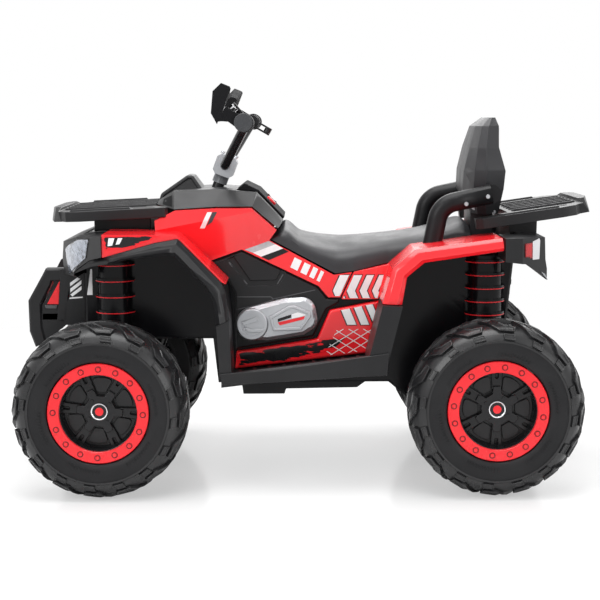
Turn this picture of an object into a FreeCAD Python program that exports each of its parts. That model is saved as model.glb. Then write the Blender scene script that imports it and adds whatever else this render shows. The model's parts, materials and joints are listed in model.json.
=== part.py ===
import FreeCAD, Part
import math
import os

# Kids quad bike, millimetres. The front points to -X, the rider's left is -Y and the floor is Z = 0.
# Body outlines are shares of the wheelbase, counted back from the front axle, and of the fender height.
wheelbase = 800
track = 560
fender_height = 500
front_axle_x = -420
tyre_diameter = 360
tyre_width = 140
cut_overrun = 5
seat_gap = 0.3
running_fit = 0.05
axle_diameter = 12

# Widths measured from the middle plane, with the steps out and in from the tub's side.
tub_half_width = 140
nose_inset = 30
belly_inset = 25
seat_side_gap = 1.2
seat_overhang = 17.2
cover_overhang = 20
cover_top_inset = 28
back_inset = 6
arm_stand = 20
skin_stand = 22
rear_post_stand = 24
mud_wall_stand = 30
fender_reach = 286
flare_reach = 298
rack_half_width = 190
cheek_half_width = 205

# Wall thicknesses of the moulded shells.
tub_wall = 5
shell_wall = 5
panel_thickness = 20
edge_bevel = 4
arch_bevel = 7
tub_bevel = 5

vector = FreeCAD.Vector
axle_height = tyre_diameter / 2
rear_axle_x = front_axle_x + wheelbase
wheel_offset = track / 2
seat_half_width = tub_half_width - seat_side_gap + seat_overhang
cover_half_width = tub_half_width + cover_overhang
cover_top_half_width = tub_half_width - cover_top_inset
back_half_width = tub_half_width - back_inset
arm_offset = tub_half_width + arm_stand
skin_inner_width = tub_half_width + skin_stand
rear_post_inner = tub_half_width + rear_post_stand
mud_wall_inner = tub_half_width + mud_wall_stand


def body_x(x_share):
    return front_axle_x + x_share * wheelbase


def body_z(z_share):
    return z_share * fender_height


def body_points(shares):
    return [(body_x(x_share), body_z(z_share)) for x_share, z_share in shares]


def side_prism(points, y_from, y_to):
    corners = [vector(x, y_from, z) for x, z in points]
    face = Part.Face(Part.makePolygon(corners + corners[:1]))
    return face.extrude(vector(0, y_to - y_from, 0))


def across(points, half_width):
    return side_prism(points, -half_width, half_width)


def plan_prism(points, z_from, z_to):
    corners = [vector(x, y, z_from) for x, y in points]
    face = Part.Face(Part.makePolygon(corners + corners[:1]))
    return face.extrude(vector(0, 0, z_to - z_from))


def box(x_from, x_to, y_from, y_to, z_from, z_to):
    corner = vector(x_from, y_from, z_from)
    return Part.makeBox(x_to - x_from, y_to - y_from, z_to - z_from, corner)


def rod(radius, start, end):
    return Part.makeCylinder(radius, (end - start).Length, start, end - start)


def mirrored(shape):
    return shape.mirror(vector(0, 0, 0), vector(0, 1, 0))


def both_sides(shape):
    return shape.fuse(mirrored(shape))


def symmetric(half_points):
    return half_points + [(x, -y) for x, y in reversed(half_points)]


def blend(points_a, points_b, share):
    return [(xa + (xb - xa) * share, za + (zb - za) * share)
            for (xa, za), (xb, zb) in zip(points_a, points_b)]


def edges_on_side(shape, y):
    near = seat_gap / 2
    return [edge for edge in shape.Edges
            if all(abs(vertex.Y - y) < near for vertex in edge.Vertexes)]


def edges_at(shape, corner):
    # The edges across the width that stand on one corner of a side outline.
    upright = []
    for edge in shape.Edges:
        ends = [vertex.Point for vertex in edge.Vertexes]
        if all(end.isEqual(vector(corner[0], end.y, corner[1]), seat_gap) for end in ends):
            upright.append(edge)
    return upright


def bevelled(shape, y, size):
    return shape.makeChamfer(size, edges_on_side(shape, y))


def band_prism(outer, inner, y_from, y_to, bevel):
    # A band between two lines, with its outer face drawn in on both edges.
    share = bevel / flare_width
    face = blend(outer, inner, share) + blend(inner, outer, share)[::-1]
    edge = outer + inner[::-1]
    toward = math.copysign(bevel, y_to - y_from)
    levels = ((edge, y_from), (edge, y_to - toward), (face, y_to))
    return ruled_solid([[vector(x, y, z) for x, z in points] for points, y in levels])


def bent_path(points, radius):
    edges = []
    start = points[0]
    for before, corner, after in zip(points, points[1:], points[2:]):
        toward = (before - corner).normalize()
        away = (after - corner).normalize()
        half_turn = (math.pi - toward.getAngle(away)) / 2
        setback = radius * math.tan(half_turn)
        first = corner + toward * setback
        last = corner + away * setback
        inward = (toward + away).normalize()
        middle = corner + inward * (radius / math.cos(half_turn) - radius)
        edges.append(Part.LineSegment(start, first).toShape())
        edges.append(Part.Arc(first, middle, last).toShape())
        start = last
    edges.append(Part.LineSegment(start, points[-1]).toShape())
    return Part.Wire(edges)


def tube(points, bend_radius, radius):
    path = bent_path(points, bend_radius)
    section = Part.Wire(Part.makeCircle(radius, points[0], points[1] - points[0]))
    return path.makePipeShell([section], True, False)


def ruled_solid(sections):
    wires = [Part.makePolygon(section + section[:1]) for section in sections]
    return Part.makeLoft(wires, True, True)


def save(name, shape):
    whole = shape.removeSplitter() if len(shape.Solids) == 1 else shape
    print(name, len(whole.Solids), whole.isValid(), round(whole.Volume))
    whole.exportStep("parts/" + name + ".step")


def save_pair(name, left_shape):
    save(name + "_left", left_shape)
    save(name + "_right", mirrored(left_shape))


os.makedirs("parts", exist_ok=True)


# Steering set-out: the column leans back from the crank that moves the tie rod.
column_tilt = 21
column_base_height_share = 1.216
column_foot_rise = 47.1605
steer_arm_length = 126
sleeve_half_height = 20
lug_thickness = 10
lug_gap = 0.4
tie_gap = 0.6
bar_lock = 30
wheel_lock = 15

lug_inner_z = sleeve_half_height + lug_gap
lug_outer_z = lug_inner_z + lug_thickness
arm_low_z = axle_height - lug_outer_z
tie_top_z = arm_low_z - tie_gap
tie_x = front_axle_x + steer_arm_length
tie_travel = steer_arm_length * math.sin(math.radians(wheel_lock))
crank_radius = tie_travel / math.sin(math.radians(bar_lock))
tilt = math.radians(column_tilt)
column_axis = vector(math.sin(tilt), 0, math.cos(tilt))
crank_out = vector(math.cos(tilt), 0, -math.sin(tilt))
column_foot = vector(tie_x - crank_radius * crank_out.x, 0, tie_top_z + column_foot_rise)
column_length = (body_z(column_base_height_share) - column_foot.z) / column_axis.z
column_base = column_foot + column_axis * column_length


# Chassis tub: hollow moulding with wheel wells, battery bay, belly and axle bearings.
tub_upper_shares = [
    (-0.0625, 0.6), (-0.0625, 1.044), (-0.025, 1.06), (0.135, 1.06), (0.15, 1.104), (0.3975, 1.112),
    (0.4275, 1.026), (0.5988, 0.878), (0.6488, 0.888), (0.7788, 0.934), (0.8075, 0.964),
    (0.9375, 0.992), (1.07, 1), (1.07, 0.94), (1.0475, 0.6)]
tub_rear_floor_shares = (1.06, 0.82)
tub_under_shares = [
    (0.74, 0.41), (0.2875, 0.41), (0.275, 0.6)]
cavity_upper_shares = [
    (-0.055, 0.612), (-0.055, 1.032), (-0.025, 1.048), (0.1425, 1.048), (0.1575, 1.092), (0.3925, 1.1),
    (0.42, 1.02), (0.42, 1.2), (0.7625, 1.2), (0.7625, 0.94), (0.8075, 0.948), (0.9375, 0.976),
    (1.06, 0.98), (1.06, 0.94), (1.0375, 0.6)]
cavity_rear_floor_shares = (1.05, 0.825)
cavity_under_shares = [
    (0.745, 0.422), (0.295, 0.422), (0.2825, 0.612)]
nose_block_shares = (-0.0563, 0.0437)
rear_floor_drop = 30
tub_floor_wall = 8
beam_half_height = 15
belly_shares = [
    (0.3525, 0.352), (0.4625, 0.352), (0.4675, 0.374), (0.6575, 0.378), (0.685, 0.41), (0.3475, 0.41)]
shock_top_share = 0.953
shock_foot_share = 0.62
front_shock_share = 0.019
rear_shock_share = 0.993
shock_radius = 36
front_ring_count = 5
rear_ring_count = 6
shock_ring_radius = 41
shock_ring_height = 6
column_radius = 12.5
bush_radius = 22
bush_height = 30

rear_floor_z = axle_height - rear_floor_drop


def tub_outline(upper_shares, floor_shares, floor_z, under_shares):
    floor = [(body_x(x_share), floor_z) for x_share in floor_shares]
    return body_points(upper_shares) + floor + body_points(under_shares)


tub_points = tub_outline(tub_upper_shares, tub_rear_floor_shares, rear_floor_z, tub_under_shares)
cavity_points = tub_outline(cavity_upper_shares, cavity_rear_floor_shares,
                            rear_floor_z + tub_floor_wall, cavity_under_shares)


def column_at(height):
    return column_base + column_axis * ((height - column_base.z) / column_axis.z)


def shock_column(x_share, ring_count):
    x = body_x(x_share)
    foot = body_z(shock_foot_share)
    top = body_z(shock_top_share)
    column = Part.makeCylinder(shock_radius, top - foot, vector(x, -tub_half_width, foot))
    step = (top - foot) / ring_count
    rings = []
    for index in range(ring_count):
        height = foot + (index + 1 / 2) * step
        centre = vector(x, -tub_half_width, height)
        rings.append(Part.makeCylinder(shock_ring_radius, shock_ring_height, centre))
    column = column.fuse(rings)
    inner = box(x - shock_ring_radius, x + shock_ring_radius, cut_overrun - tub_half_width, 0, foot, top)
    return column.cut(inner)


def chassis_tub():
    outer = across(tub_points, tub_half_width)
    for side in (-1, 1):
        outer = bevelled(outer, side * tub_half_width, tub_bevel)
    tub = outer.cut(across(cavity_points, tub_half_width - tub_wall))
    nose_floor = tub_points[0][1]
    nose_reach = tub_half_width - nose_inset
    nose_from, nose_to = [body_x(x_share) for x_share in nose_block_shares]
    beam_top = axle_height + beam_half_height
    tub = tub.fuse(box(nose_from, nose_to, -nose_reach, nose_reach, beam_top, nose_floor))
    tub = tub.fuse(across(body_points(belly_shares), tub_half_width - belly_inset))
    for x_share, ring_count in ((front_shock_share, front_ring_count), (rear_shock_share, rear_ring_count)):
        tub = tub.fuse(both_sides(shock_column(x_share, ring_count)))
    bush_foot = column_at(nose_floor)
    tub = tub.fuse(rod(bush_radius, bush_foot, bush_foot + column_axis * bush_height).common(outer))
    bore = rod(column_radius + running_fit, column_at(0), column_at(2 * fender_height))
    axle_hole = rod(
        axle_diameter / 2 + running_fit,
        vector(rear_axle_x, -2 * tub_half_width, axle_height),
        vector(rear_axle_x, 2 * tub_half_width, axle_height))
    return tub.cut([bore, axle_hole])


save("chassis_tub", chassis_tub())

# Battery on the floor of the tub.
battery_length = 151
battery_width = 98
battery_height = 95
battery_middle_share = 0.55
terminal_width = 12
terminal_height = 8


def battery():
    x = body_x(battery_middle_share)
    z = cavity_points[-2][1]
    half_length = battery_length / 2
    half_width = battery_width / 2
    case = box(x - half_length, x + half_length, -half_width, half_width, z, z + battery_height)
    upright = [edge for edge in case.Edges
               if abs(edge.Vertexes[0].Z - edge.Vertexes[1].Z) > terminal_height]
    case = case.makeFillet(edge_bevel, upright)
    top = z + battery_height
    for side in (-1, 1):
        y = side * (half_width - terminal_width)
        post = box(x - half_length + terminal_width, x - half_length + 2 * terminal_width,
                   y - terminal_width / 2, y + terminal_width / 2, top, top + terminal_height)
        case = case.fuse(post)
    return case


save("battery", battery())

# Seat: saddle that narrows towards the tank, lofted through sections across the bike.
seat_stations_shares = [
    (0.43, 1.0248, 1.026, 1.03), (0.4675, 0.9924, 1.06, 1.082), (0.5075, 0.9578, 1.014, 1.038),
    (0.5988, 0.879, 0.96, 1.016), (0.6488, 0.889, 0.964, 1.016), (0.735, 0.9194, 0.978, 1.026),
    (0.7788, 0.935, 0.986, 1.034), (0.8075, 0.965, 1, 1.04), (0.835, 0.971, 1.012, 1.046),
    (0.895, 0.984, 1.04, 1.072), (0.94, 0.994, 1.048, 1.094), (0.9575, 0.995, 1.028, 1.076)]
seat_overhang_shares = (1, 1, 1, 1, 1, 0, 0, 0, 0, 0, -0.18, -0.45)
seat_crown_shares = (0.40, 0.42, 0.46, 0.55, 0.6, 0.66, 0.68, 0.68, 0.68, 0.66, 0.62, 0.6)
seat_ridge_share = 0.97
seat_hump_share = 0.4


def seat():
    # Each section has a flat foot, sloped sides up to a ridge, and an arched top.
    wires = []
    table = zip(seat_stations_shares, seat_overhang_shares, seat_crown_shares)
    for station, overhang_share, crown_share in table:
        x = body_x(station[0])
        base = tub_half_width - seat_side_gap + seat_overhang * overhang_share
        low, middle, top = [body_z(share) for share in station[1:]]
        crown = seat_half_width * crown_share
        arch_foot = top - (top - middle) * seat_hump_share
        half = [(-base, low), (-base * seat_ridge_share, middle), (-crown, arch_foot)]
        left = [vector(x, y, z) for y, z in half]
        right = [vector(x, -y, z) for y, z in reversed(half)]
        arch = Part.Arc(left[-1], vector(x, 0, top), right[0]).toShape()
        sides = Part.makePolygon(right + left)
        wires.append(Part.Wire([arch] + sides.Edges))
    return Part.makeLoft(wires, True, True)


seat_shape = seat()
save("seat", seat_shape)

# Tank cover over the steering column, with the cowl in front of the bars.
cover_low_shares = [
    (0.1275, 1.168), (0.1787, 1.152), (0.2875, 1.162), (0.3825, 1.162), (0.45, 1.07)]
cover_top_shares = [
    (0.1325, 1.184), (0.1737, 1.224), (0.2875, 1.232), (0.3925, 1.216), (0.4625, 1.098)]
cover_front_share = 0.62
cowl_shares = [
    (0.15, 1.2), (0.2125, 1.29), (0.2225, 1.286), (0.2475, 1.216)]
cowl_half_width = 62
cowl_top_half_width = 40


def cover_section(low, top, low_half, top_half):
    (low_x, low_z), (top_x, top_z) = low, top
    return [vector(low_x, -low_half, low_z), vector(top_x, -top_half, top_z),
            vector(top_x, top_half, top_z), vector(low_x, low_half, low_z)]


def cowl():
    points = body_points(cowl_shares)
    front, peak, lip, back = points
    wide = [vector(x, -cowl_half_width, z) for x, z in (front, back)]
    narrow = [vector(x, -cowl_top_half_width, z) for x, z in (peak, lip)]
    near = [wide[0], narrow[0], narrow[1], wide[1]]
    far = [vector(point.x, -point.y, point.z) for point in near]
    return ruled_solid([near, far])


def cover_form(wall, drop):
    # The outside of the cover, or its hollow, drawn in by a wall and dropped through the open foot.
    low = [(x, z - drop) for x, z in body_points(cover_low_shares)]
    top = [(x, z - wall) for x, z in body_points(cover_top_shares)]
    for line in (low, top):
        line[0] = (line[0][0] + wall, line[0][1])
        line[-1] = (line[-1][0] - wall, line[-1][1])
    width_shares = [cover_front_share] + [1] * (len(low) - 1)
    sections = []
    for low_point, top_point, width_share in zip(low, top, width_shares):
        sections.append(cover_section(low_point, top_point, cover_half_width * width_share - wall,
                                      cover_top_half_width * width_share - wall))
    return ruled_solid(sections)


def tank_cover():
    cover = cover_form(0, 0).cut(cover_form(shell_wall, cut_overrun)).fuse(cowl())
    bore = rod(column_radius + running_fit, column_at(0), column_at(2 * fender_height))
    return cover.cut(bore)


save("tank_cover", tank_cover())

# Dash on the rear slope of the cover, with wells for the start button and the direction switch.
dash_shares = [
    (0.3375, 1.2244), (0.36, 1.252), (0.3975, 1.223), (0.4662, 1.106), (0.4612, 1.1002),
    (0.3925, 1.216)]
dash_half_width = 84
button_radius = 12
button_spread = 38
button_well_depth = 5
button_clearance = 0.4
switch_length = 26
switch_width = 16
switch_clearance = 1
control_share = 0.45

dash_points = body_points(dash_shares)
slope_top = vector(dash_points[2][0], 0, dash_points[2][1])
slope_foot = vector(dash_points[3][0], 0, dash_points[3][1])
slope_run = (slope_foot - slope_top).normalize()
slope_out = vector(-slope_run.z, 0, slope_run.x)
control_middle = slope_top + (slope_foot - slope_top) * control_share
dash_turn = FreeCAD.Rotation(slope_run, vector(0, 1, 0), slope_out, "ZXY")


def on_slope(shape, y, depth):
    placed = shape.copy()
    spot = control_middle + vector(0, y, 0) - slope_out * depth
    placed.Placement = FreeCAD.Placement(spot, dash_turn)
    return placed


def switch_block(length, width, height):
    return box(-length / 2, length / 2, -width / 2, width / 2, 0, height)


def dash_panel():
    panel = across(dash_points, dash_half_width)
    reach = button_well_depth + cut_overrun
    button_well = Part.makeCylinder(button_radius + button_clearance, reach)
    room = 2 * switch_clearance
    switch_well = switch_block(switch_length + room, switch_width + room, reach)
    return panel.cut([on_slope(button_well, -button_spread, button_well_depth),
                      on_slope(switch_well, button_spread, button_well_depth)])


save("dash_panel", dash_panel())

# Start button that travels into its well, and a rocker for forward and reverse.
button_height = 7
button_travel = 2.5
button_floor_gap = button_travel + seat_gap
rocker_height = 6
rocker_drop = 3


def start_button():
    body = Part.makeCylinder(button_radius, button_height)
    rim = [edge for edge in body.Edges if edge.Curve.TypeId == "Part::GeomCircle"
           and abs(edge.Curve.Center.z - button_height) < seat_gap]
    body = body.makeFillet(button_travel / 2, rim)
    return on_slope(body, -button_spread, button_well_depth - button_floor_gap)


def direction_switch():
    half = switch_length / 2
    points = [(-half, rocker_drop), (-half, rocker_height + rocker_drop), (0, rocker_height),
              (half, rocker_height + rocker_drop), (half, rocker_drop), (0, seat_gap)]
    rocker = side_prism(points, -switch_width / 2, switch_width / 2)
    return on_slope(rocker, button_spread, button_well_depth)


save("start_button", start_button())
save("direction_switch", direction_switch())


# Red tank panel with the front fender strip: a creased side and a skin over the front wheel arch.
tank_side_shares = [
    (0.13, 1.108), (0.1825, 1.148), (0.2875, 1.157), (0.3812, 1.157), (0.4462, 1.064), (0.4263, 1.02),
    (0.595, 0.873), (0.6425, 0.884), (0.6112, 0.778), (0.58, 0.778), (0.555, 0.826), (0.3538, 0.982),
    (0.2725, 0.936), (0.2025, 1.044), (0.1325, 1.064)]
fender_top_shares = [
    (0.01, 1.068), (0.1975, 1.064), (0.32, 0.866)]
arch_outer_shares = [
    (0.01, 0.975), (0.1425, 1.034), (0.2, 1.05), (0.2075, 1.04), (0.3088, 0.874)]
tank_bulge = 46
seat_band_thickness = 16
tank_top_inset = 16
tank_low_inset = 24
crease_reach = 60
crease_front_share = (0.1125, 1.062)
crease_rear_share = (0.45, 1.164)


def crease_wedge():
    # Roof-shaped prism along the crease line, so that the side has two facets.
    front = body_points([crease_front_share])[0]
    rear = body_points([crease_rear_share])[0]
    run = vector(rear[0] - front[0], 0, rear[1] - front[1]).normalize()
    up = vector(-run.z, 0, run.x)
    start = vector(front[0], 0, front[1]) - run * wheelbase
    reach = fender_height
    ridge = -(tub_half_width + tank_bulge)
    top_slope = tank_top_inset / crease_reach
    low_slope = tank_low_inset / crease_reach
    corners = [start + up * reach, start - up * reach,
               start - up * reach + vector(0, ridge + reach * low_slope, 0),
               start + vector(0, ridge, 0),
               start + up * reach + vector(0, ridge + reach * top_slope, 0)]
    face = Part.Face(Part.makePolygon(corners + corners[:1]))
    return face.extrude(run * (3 * wheelbase))


def tank_panel():
    outline = body_points(tank_side_shares)
    side = side_prism(outline, -tub_half_width, -tub_half_width - tank_bulge).common(crease_wedge())
    seat_band = side_prism(outline, -tub_half_width, -tub_half_width - seat_band_thickness)
    top = body_points(fender_top_shares)
    arch = body_points(arch_outer_shares)
    flat = top[:2] + [arch[2], arch[1], arch[0]]
    strip = side_prism(flat, -tub_half_width, -fender_reach)
    hollow = [(x, z - shell_wall) for x, z in top[:2]]
    hollow = hollow + [(x, z - cut_overrun) for x, z in (arch[2], arch[1], arch[0])]
    strip = strip.cut(side_prism(hollow, -tub_half_width, shell_wall - fender_reach))
    skin = side_prism([top[1], top[2], arch[4], arch[3], arch[2]], -skin_inner_width, -fender_reach)
    return side.fuse([seat_band, strip, skin])


save_pair("tank_panel", tank_panel())

# Black arch trim round the front wheel, with the mud wall behind the wheel.
flare_outer_shares = [
    (-0.0775, 0.898), (-0.03, 0.954), (0.0213, 0.979), (0.1425, 1.0328), (0.2, 1.0488),
    (0.2068, 1.0388), (0.3081, 0.8728), (0.3187, 0.836), (0.3275, 0.722)]
flare_inner_shares = [
    (-0.0775, 0.894), (-0.025, 0.932), (0.0737, 0.968), (0.175, 0.984), (0.1925, 0.978),
    (0.2812, 0.832), (0.2875, 0.788), (0.2913, 0.76), (0.295, 0.7)]
flare_width = 26
flare_nose_shares = ((0.03, 1.0), (-0.075, 0.7))


def front_flare():
    outer = body_points(flare_outer_shares)
    inner = body_points(flare_inner_shares)
    rim = band_prism(outer, inner, -flare_reach + flare_width, -flare_reach, arch_bevel)
    nose = side_prism(outer[:3] + inner[:3][::-1], -cheek_half_width, -flare_reach + flare_width)
    wall_line = outer[6:]
    wall_back = blend(outer, inner, shell_wall / flare_width)[6:]
    wall = side_prism(wall_line + wall_back[::-1], -mud_wall_inner, -flare_reach + flare_width)
    flare = rim.fuse([nose, wall])
    (tip_x_share, tip_reach_share), (end_x_share, end_reach_share) = flare_nose_shares
    trim = [(body_x(tip_x_share), -flare_reach * tip_reach_share),
            (body_x(end_x_share), -flare_reach * end_reach_share),
            (body_x(end_x_share), -2 * flare_reach), (body_x(tip_x_share), -2 * flare_reach)]
    return flare.cut(plan_prism(trim, 0, 2 * fender_height))


save_pair("front_flare", front_flare())

# Black side cover under the tank, with its moulded groove.
side_cover_shares = [
    (0.2762, 0.93), (0.3538, 0.976), (0.5525, 0.821), (0.5763, 0.7732), (0.6088, 0.7732),
    (0.6075, 0.752), (0.5763, 0.726), (0.5413, 0.61), (0.335, 0.558), (0.3337, 0.8), (0.31, 0.872)]
groove_shares = [
    (0.3175, 0.94), (0.3675, 0.828), (0.45, 0.83), (0.4725, 0.892), (0.46, 0.904), (0.4425, 0.852),
    (0.3762, 0.85), (0.3325, 0.952)]
side_cover_thickness = 15
groove_depth = 4


def side_cover():
    outer = -tub_half_width - side_cover_thickness
    cover = side_prism(body_points(side_cover_shares), -tub_half_width, outer)
    cover = bevelled(cover, outer, edge_bevel)
    groove = side_prism(body_points(groove_shares), outer + groove_depth, outer - cut_overrun)
    return cover.cut(groove)


save_pair("side_cover", side_cover())

# Silver engine cover: a round end plate with a raised rim, and a tapered housing behind it.
engine_shares = [
    (0.3738, 0.738), (0.465, 0.777), (0.5413, 0.783), (0.554, 0.664), (0.5163, 0.624), (0.42, 0.6),
    (0.3875, 0.602)]
engine_end_radii = {2: 30, 3: 26}
engine_recess_shares = [
    (0.455, 0.704), (0.505, 0.736), (0.5225, 0.724), (0.5075, 0.688), (0.455, 0.672)]
engine_disc_share = (0.38, 0.67)
engine_disc_radius = 34
engine_disc_rim = 6
engine_thickness = 20
engine_disc_extra = 6
engine_recess_depth = 5


def engine_cover():
    inner = -tub_half_width - side_cover_thickness
    outer = inner - engine_thickness
    corners = body_points(engine_shares)
    housing = side_prism(corners, inner, outer)
    for index, radius in engine_end_radii.items():
        housing = housing.makeFillet(radius, edges_at(housing, corners[index]))
    housing = bevelled(housing, outer, 2 * edge_bevel)
    recess = side_prism(body_points(engine_recess_shares), outer + engine_recess_depth, outer - cut_overrun)
    x, z = body_points([engine_disc_share])[0]
    face = outer - engine_disc_extra
    disc = rod(engine_disc_radius, vector(x, inner, z), vector(x, face, z))
    disc = bevelled(disc, face, edge_bevel)
    dish = rod(engine_disc_radius - engine_disc_rim - edge_bevel,
               vector(x, face + engine_disc_extra / 2, z), vector(x, face - cut_overrun, z))
    return housing.cut(recess).fuse(disc).cut(dish)


save_pair("engine_cover", engine_cover())

# Red lower panel behind the footboard.
lower_panel_shares = [
    (0.55, 0.602), (0.5837, 0.724), (0.7163, 0.764), (0.6825, 0.54), (0.3337, 0.476), (0.3375, 0.55)]


def lower_panel():
    outer = -tub_half_width - panel_thickness
    panel = side_prism(body_points(lower_panel_shares), -tub_half_width, outer)
    return bevelled(panel, outer, edge_bevel)


save_pair("lower_panel", lower_panel())

# Footboard: ribbed floor, outer skirt and the uprights that carry the arches.
floor_shares = [
    (0.305, 0.462), (0.73, 0.542)]
skirt_shares = [
    (0.3025, 0.5), (0.7312, 0.582), (0.7288, 0.508), (0.65, 0.49), (0.3125, 0.462), (0.3025, 0.478)]
front_post_shares = [
    (0.295, 0.698), (0.3275, 0.72), (0.3325, 0.486), (0.3025, 0.482)]
rear_post_shares = [
    (0.7137, 0.7772), (0.7638, 0.7732), (0.7266, 0.536), (0.6726, 0.522)]
floor_thickness = 10
floor_rib_count = 9
floor_rib_width = 6
floor_rib_height = 4
skirt_width = 14
post_width = 30


def footboard():
    (front_x, front_z), (rear_x, rear_z) = body_points(floor_shares)
    slope = (rear_z - front_z) / (rear_x - front_x)
    slab = [(front_x, front_z), (rear_x, rear_z),
            (rear_x, rear_z - floor_thickness), (front_x, front_z - floor_thickness)]
    board = side_prism(slab, -tub_half_width, -flare_reach + skirt_width)
    skirt = side_prism(body_points(skirt_shares), -flare_reach + skirt_width, -flare_reach)
    skirt = bevelled(skirt, -flare_reach, edge_bevel)
    pieces = [skirt]
    front_post = body_points(front_post_shares)
    rear_post = body_points(rear_post_shares)
    pieces.append(side_prism(front_post, -flare_reach + post_width, -flare_reach))
    top_front, top_rear, foot_rear, foot_front = front_post
    wall_share = shell_wall / (top_rear[0] - top_front[0])
    front_wall = [top_rear, foot_rear] + blend([foot_rear, top_rear], [foot_front, top_front], wall_share)
    wall_foot = front_z - floor_thickness / 2
    wall_stub = [foot_rear, (foot_rear[0], wall_foot), (front_wall[2][0], wall_foot), front_wall[2]]
    for wall in (front_wall, wall_stub):
        pieces.append(side_prism(wall, -mud_wall_inner, -flare_reach + post_width))
    pieces.append(side_prism(rear_post, -flare_reach + post_width, -flare_reach))
    rear_wall = [rear_post[0], rear_post[3]]
    rear_wall = rear_wall + [(x + shell_wall, z) for x, z in rear_wall[::-1]]
    pieces.append(side_prism(rear_wall, -rear_post_inner, -flare_reach + post_width))
    pitch = (rear_x - front_x) / (floor_rib_count + 2)
    rib_inner = -tub_half_width - panel_thickness - floor_rib_width
    for index in range(floor_rib_count):
        x = front_x + (index + 1) * pitch
        low = front_z + (x - front_x) * slope
        rib = [(x, low), (x + floor_rib_width, low + floor_rib_width * slope),
               (x + floor_rib_width, low + floor_rib_height), (x, low + floor_rib_height)]
        pieces.append(side_prism(rib, rib_inner, -flare_reach + skirt_width))
    return board.fuse(pieces)


save_pair("footboard", footboard())

# Red rear fender with its side panel.
rear_outer_shares = [
    (0.7137, 0.78), (0.74, 0.922), (0.7963, 1), (1.015, 1.045)]
rear_inner_shares = [
    (0.7638, 0.776), (0.7762, 0.888), (0.82, 0.946), (1.02, 0.992)]
rear_side_shares = [
    (0.6475, 0.886), (0.735, 0.916), (0.74, 0.922), (0.7137, 0.78), (0.7119, 0.77), (0.6162, 0.77),
    (0.615, 0.776)]
rear_skin_share = 0.25
rear_rim_width = 26


def rear_fender():
    outer = body_points(rear_outer_shares)
    inner = body_points(rear_inner_shares)
    arch = band_prism(outer, inner, -tub_half_width, -fender_reach, arch_bevel)
    skin = blend(outer, inner, rear_skin_share)
    pocket_from = -tub_half_width - panel_thickness
    pocket = side_prism(skin + inner[::-1], pocket_from, rear_rim_width - fender_reach)
    arch = arch.cut(pocket)
    panel = side_prism(body_points(rear_side_shares), -tub_half_width, pocket_from)
    return arch.fuse(panel)


save_pair("rear_fender", rear_fender())


# Front fascia: a pointed mask in plan, cut to its side outline, with the headlight pockets.
fascia_side_shares = [
    (0.0088, 0.9772), (0.0088, 1.06), (-0.0425, 1.056), (-0.0663, 1.0472), (-0.1163, 1.018),
    (-0.1212, 0.946), (-0.1125, 0.842), (-0.1087, 0.78), (-0.1375, 0.656), (-0.0663, 0.656),
    (-0.0663, 0.882), (-0.08, 0.882), (-0.08, 0.9), (-0.03, 0.9572)]
fascia_plan_shares = [
    (0.0088, 0.98), (-0.07, 0.69), (-0.1225, 0.42)]
fascia_chin_shares = [
    (-0.225, 0.88), (0.025, 0.88), (0.025, 0.6), (-0.225, 0.6)]
chin_half_width = 118
headlight_shares = [
    (-0.0362, 1.038), (-0.0525, 0.95), (-0.085, 0.888), (-0.0963, 0.996), (-0.0725, 1.028)]
headlight_inner = 150
lens_gap = 0.3


def fascia_blank():
    side = across(body_points(fascia_side_shares), flare_reach)
    half_plan = [(body_x(x_share), -flare_reach * reach_share)
                 for x_share, reach_share in fascia_plan_shares]
    mask = side.common(plan_prism(symmetric(half_plan), 0, 2 * fender_height))
    chin_zone = across(body_points(fascia_chin_shares), flare_reach)
    chin_keep = across(body_points(fascia_chin_shares), chin_half_width)
    front_of_tub = tub_points[0][0]
    tub_room = box(front_of_tub, 0, -tub_half_width, tub_half_width, 0, 2 * fender_height)
    return mask.cut([chin_zone.cut(chin_keep), tub_room])


def lens_prism(points, inner, gap):
    middle_x = sum(x for x, z in points) / len(points)
    middle_z = sum(z for x, z in points) / len(points)
    reach = max(abs(x - middle_x) for x, z in points)
    shrunk = blend(points, [(middle_x, middle_z)] * len(points), gap / reach)
    return side_prism(shrunk, -inner - gap, -2 * flare_reach)


def headlight_prism(gap):
    return lens_prism(body_points(headlight_shares), headlight_inner, gap)


blank = fascia_blank()
save("front_fascia", blank.cut(both_sides(headlight_prism(0))))
lens_left = blank.common(headlight_prism(lens_gap))
save("headlight_lenses", Part.Compound([lens_left, mirrored(lens_left)]))

# Red grille insert and the bull bar in front of the fascia.
grille_shares = [
    (-0.1062, 0.848), (-0.1613, 0.756), (-0.1062, 0.754)]
grille_half_width = 84
grille_slot_count = 3
grille_slot_height = 5
grille_slot_reach = 70
grille_slot_depth = 12
bar_outer_shares = [
    (-0.1037, 0.898), (-0.17, 0.898), (-0.1787, 0.872), (-0.2188, 0.76), (-0.2175, 0.628),
    (-0.2025, 0.56)]
bar_inner_shares = [
    (-0.1037, 0.842), (-0.1537, 0.842), (-0.1562, 0.828), (-0.1837, 0.744), (-0.1825, 0.644),
    (-0.1725, 0.58)]
bar_foot_shares = [
    (-0.2025, 0.56), (-0.1725, 0.58), (-0.115, 0.664), (-0.1125, 0.704), (-0.1825, 0.704),
    (-0.2175, 0.628)]
hoop_inner = 88
hoop_outer = 116
bumper_bar_radius = 12
bumper_bar_share = (-0.2013, 0.728)
skid_shares = [
    (-0.2175, 0.66), (-0.2025, 0.562), (-0.1925, 0.562), (-0.2075, 0.66)]


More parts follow.
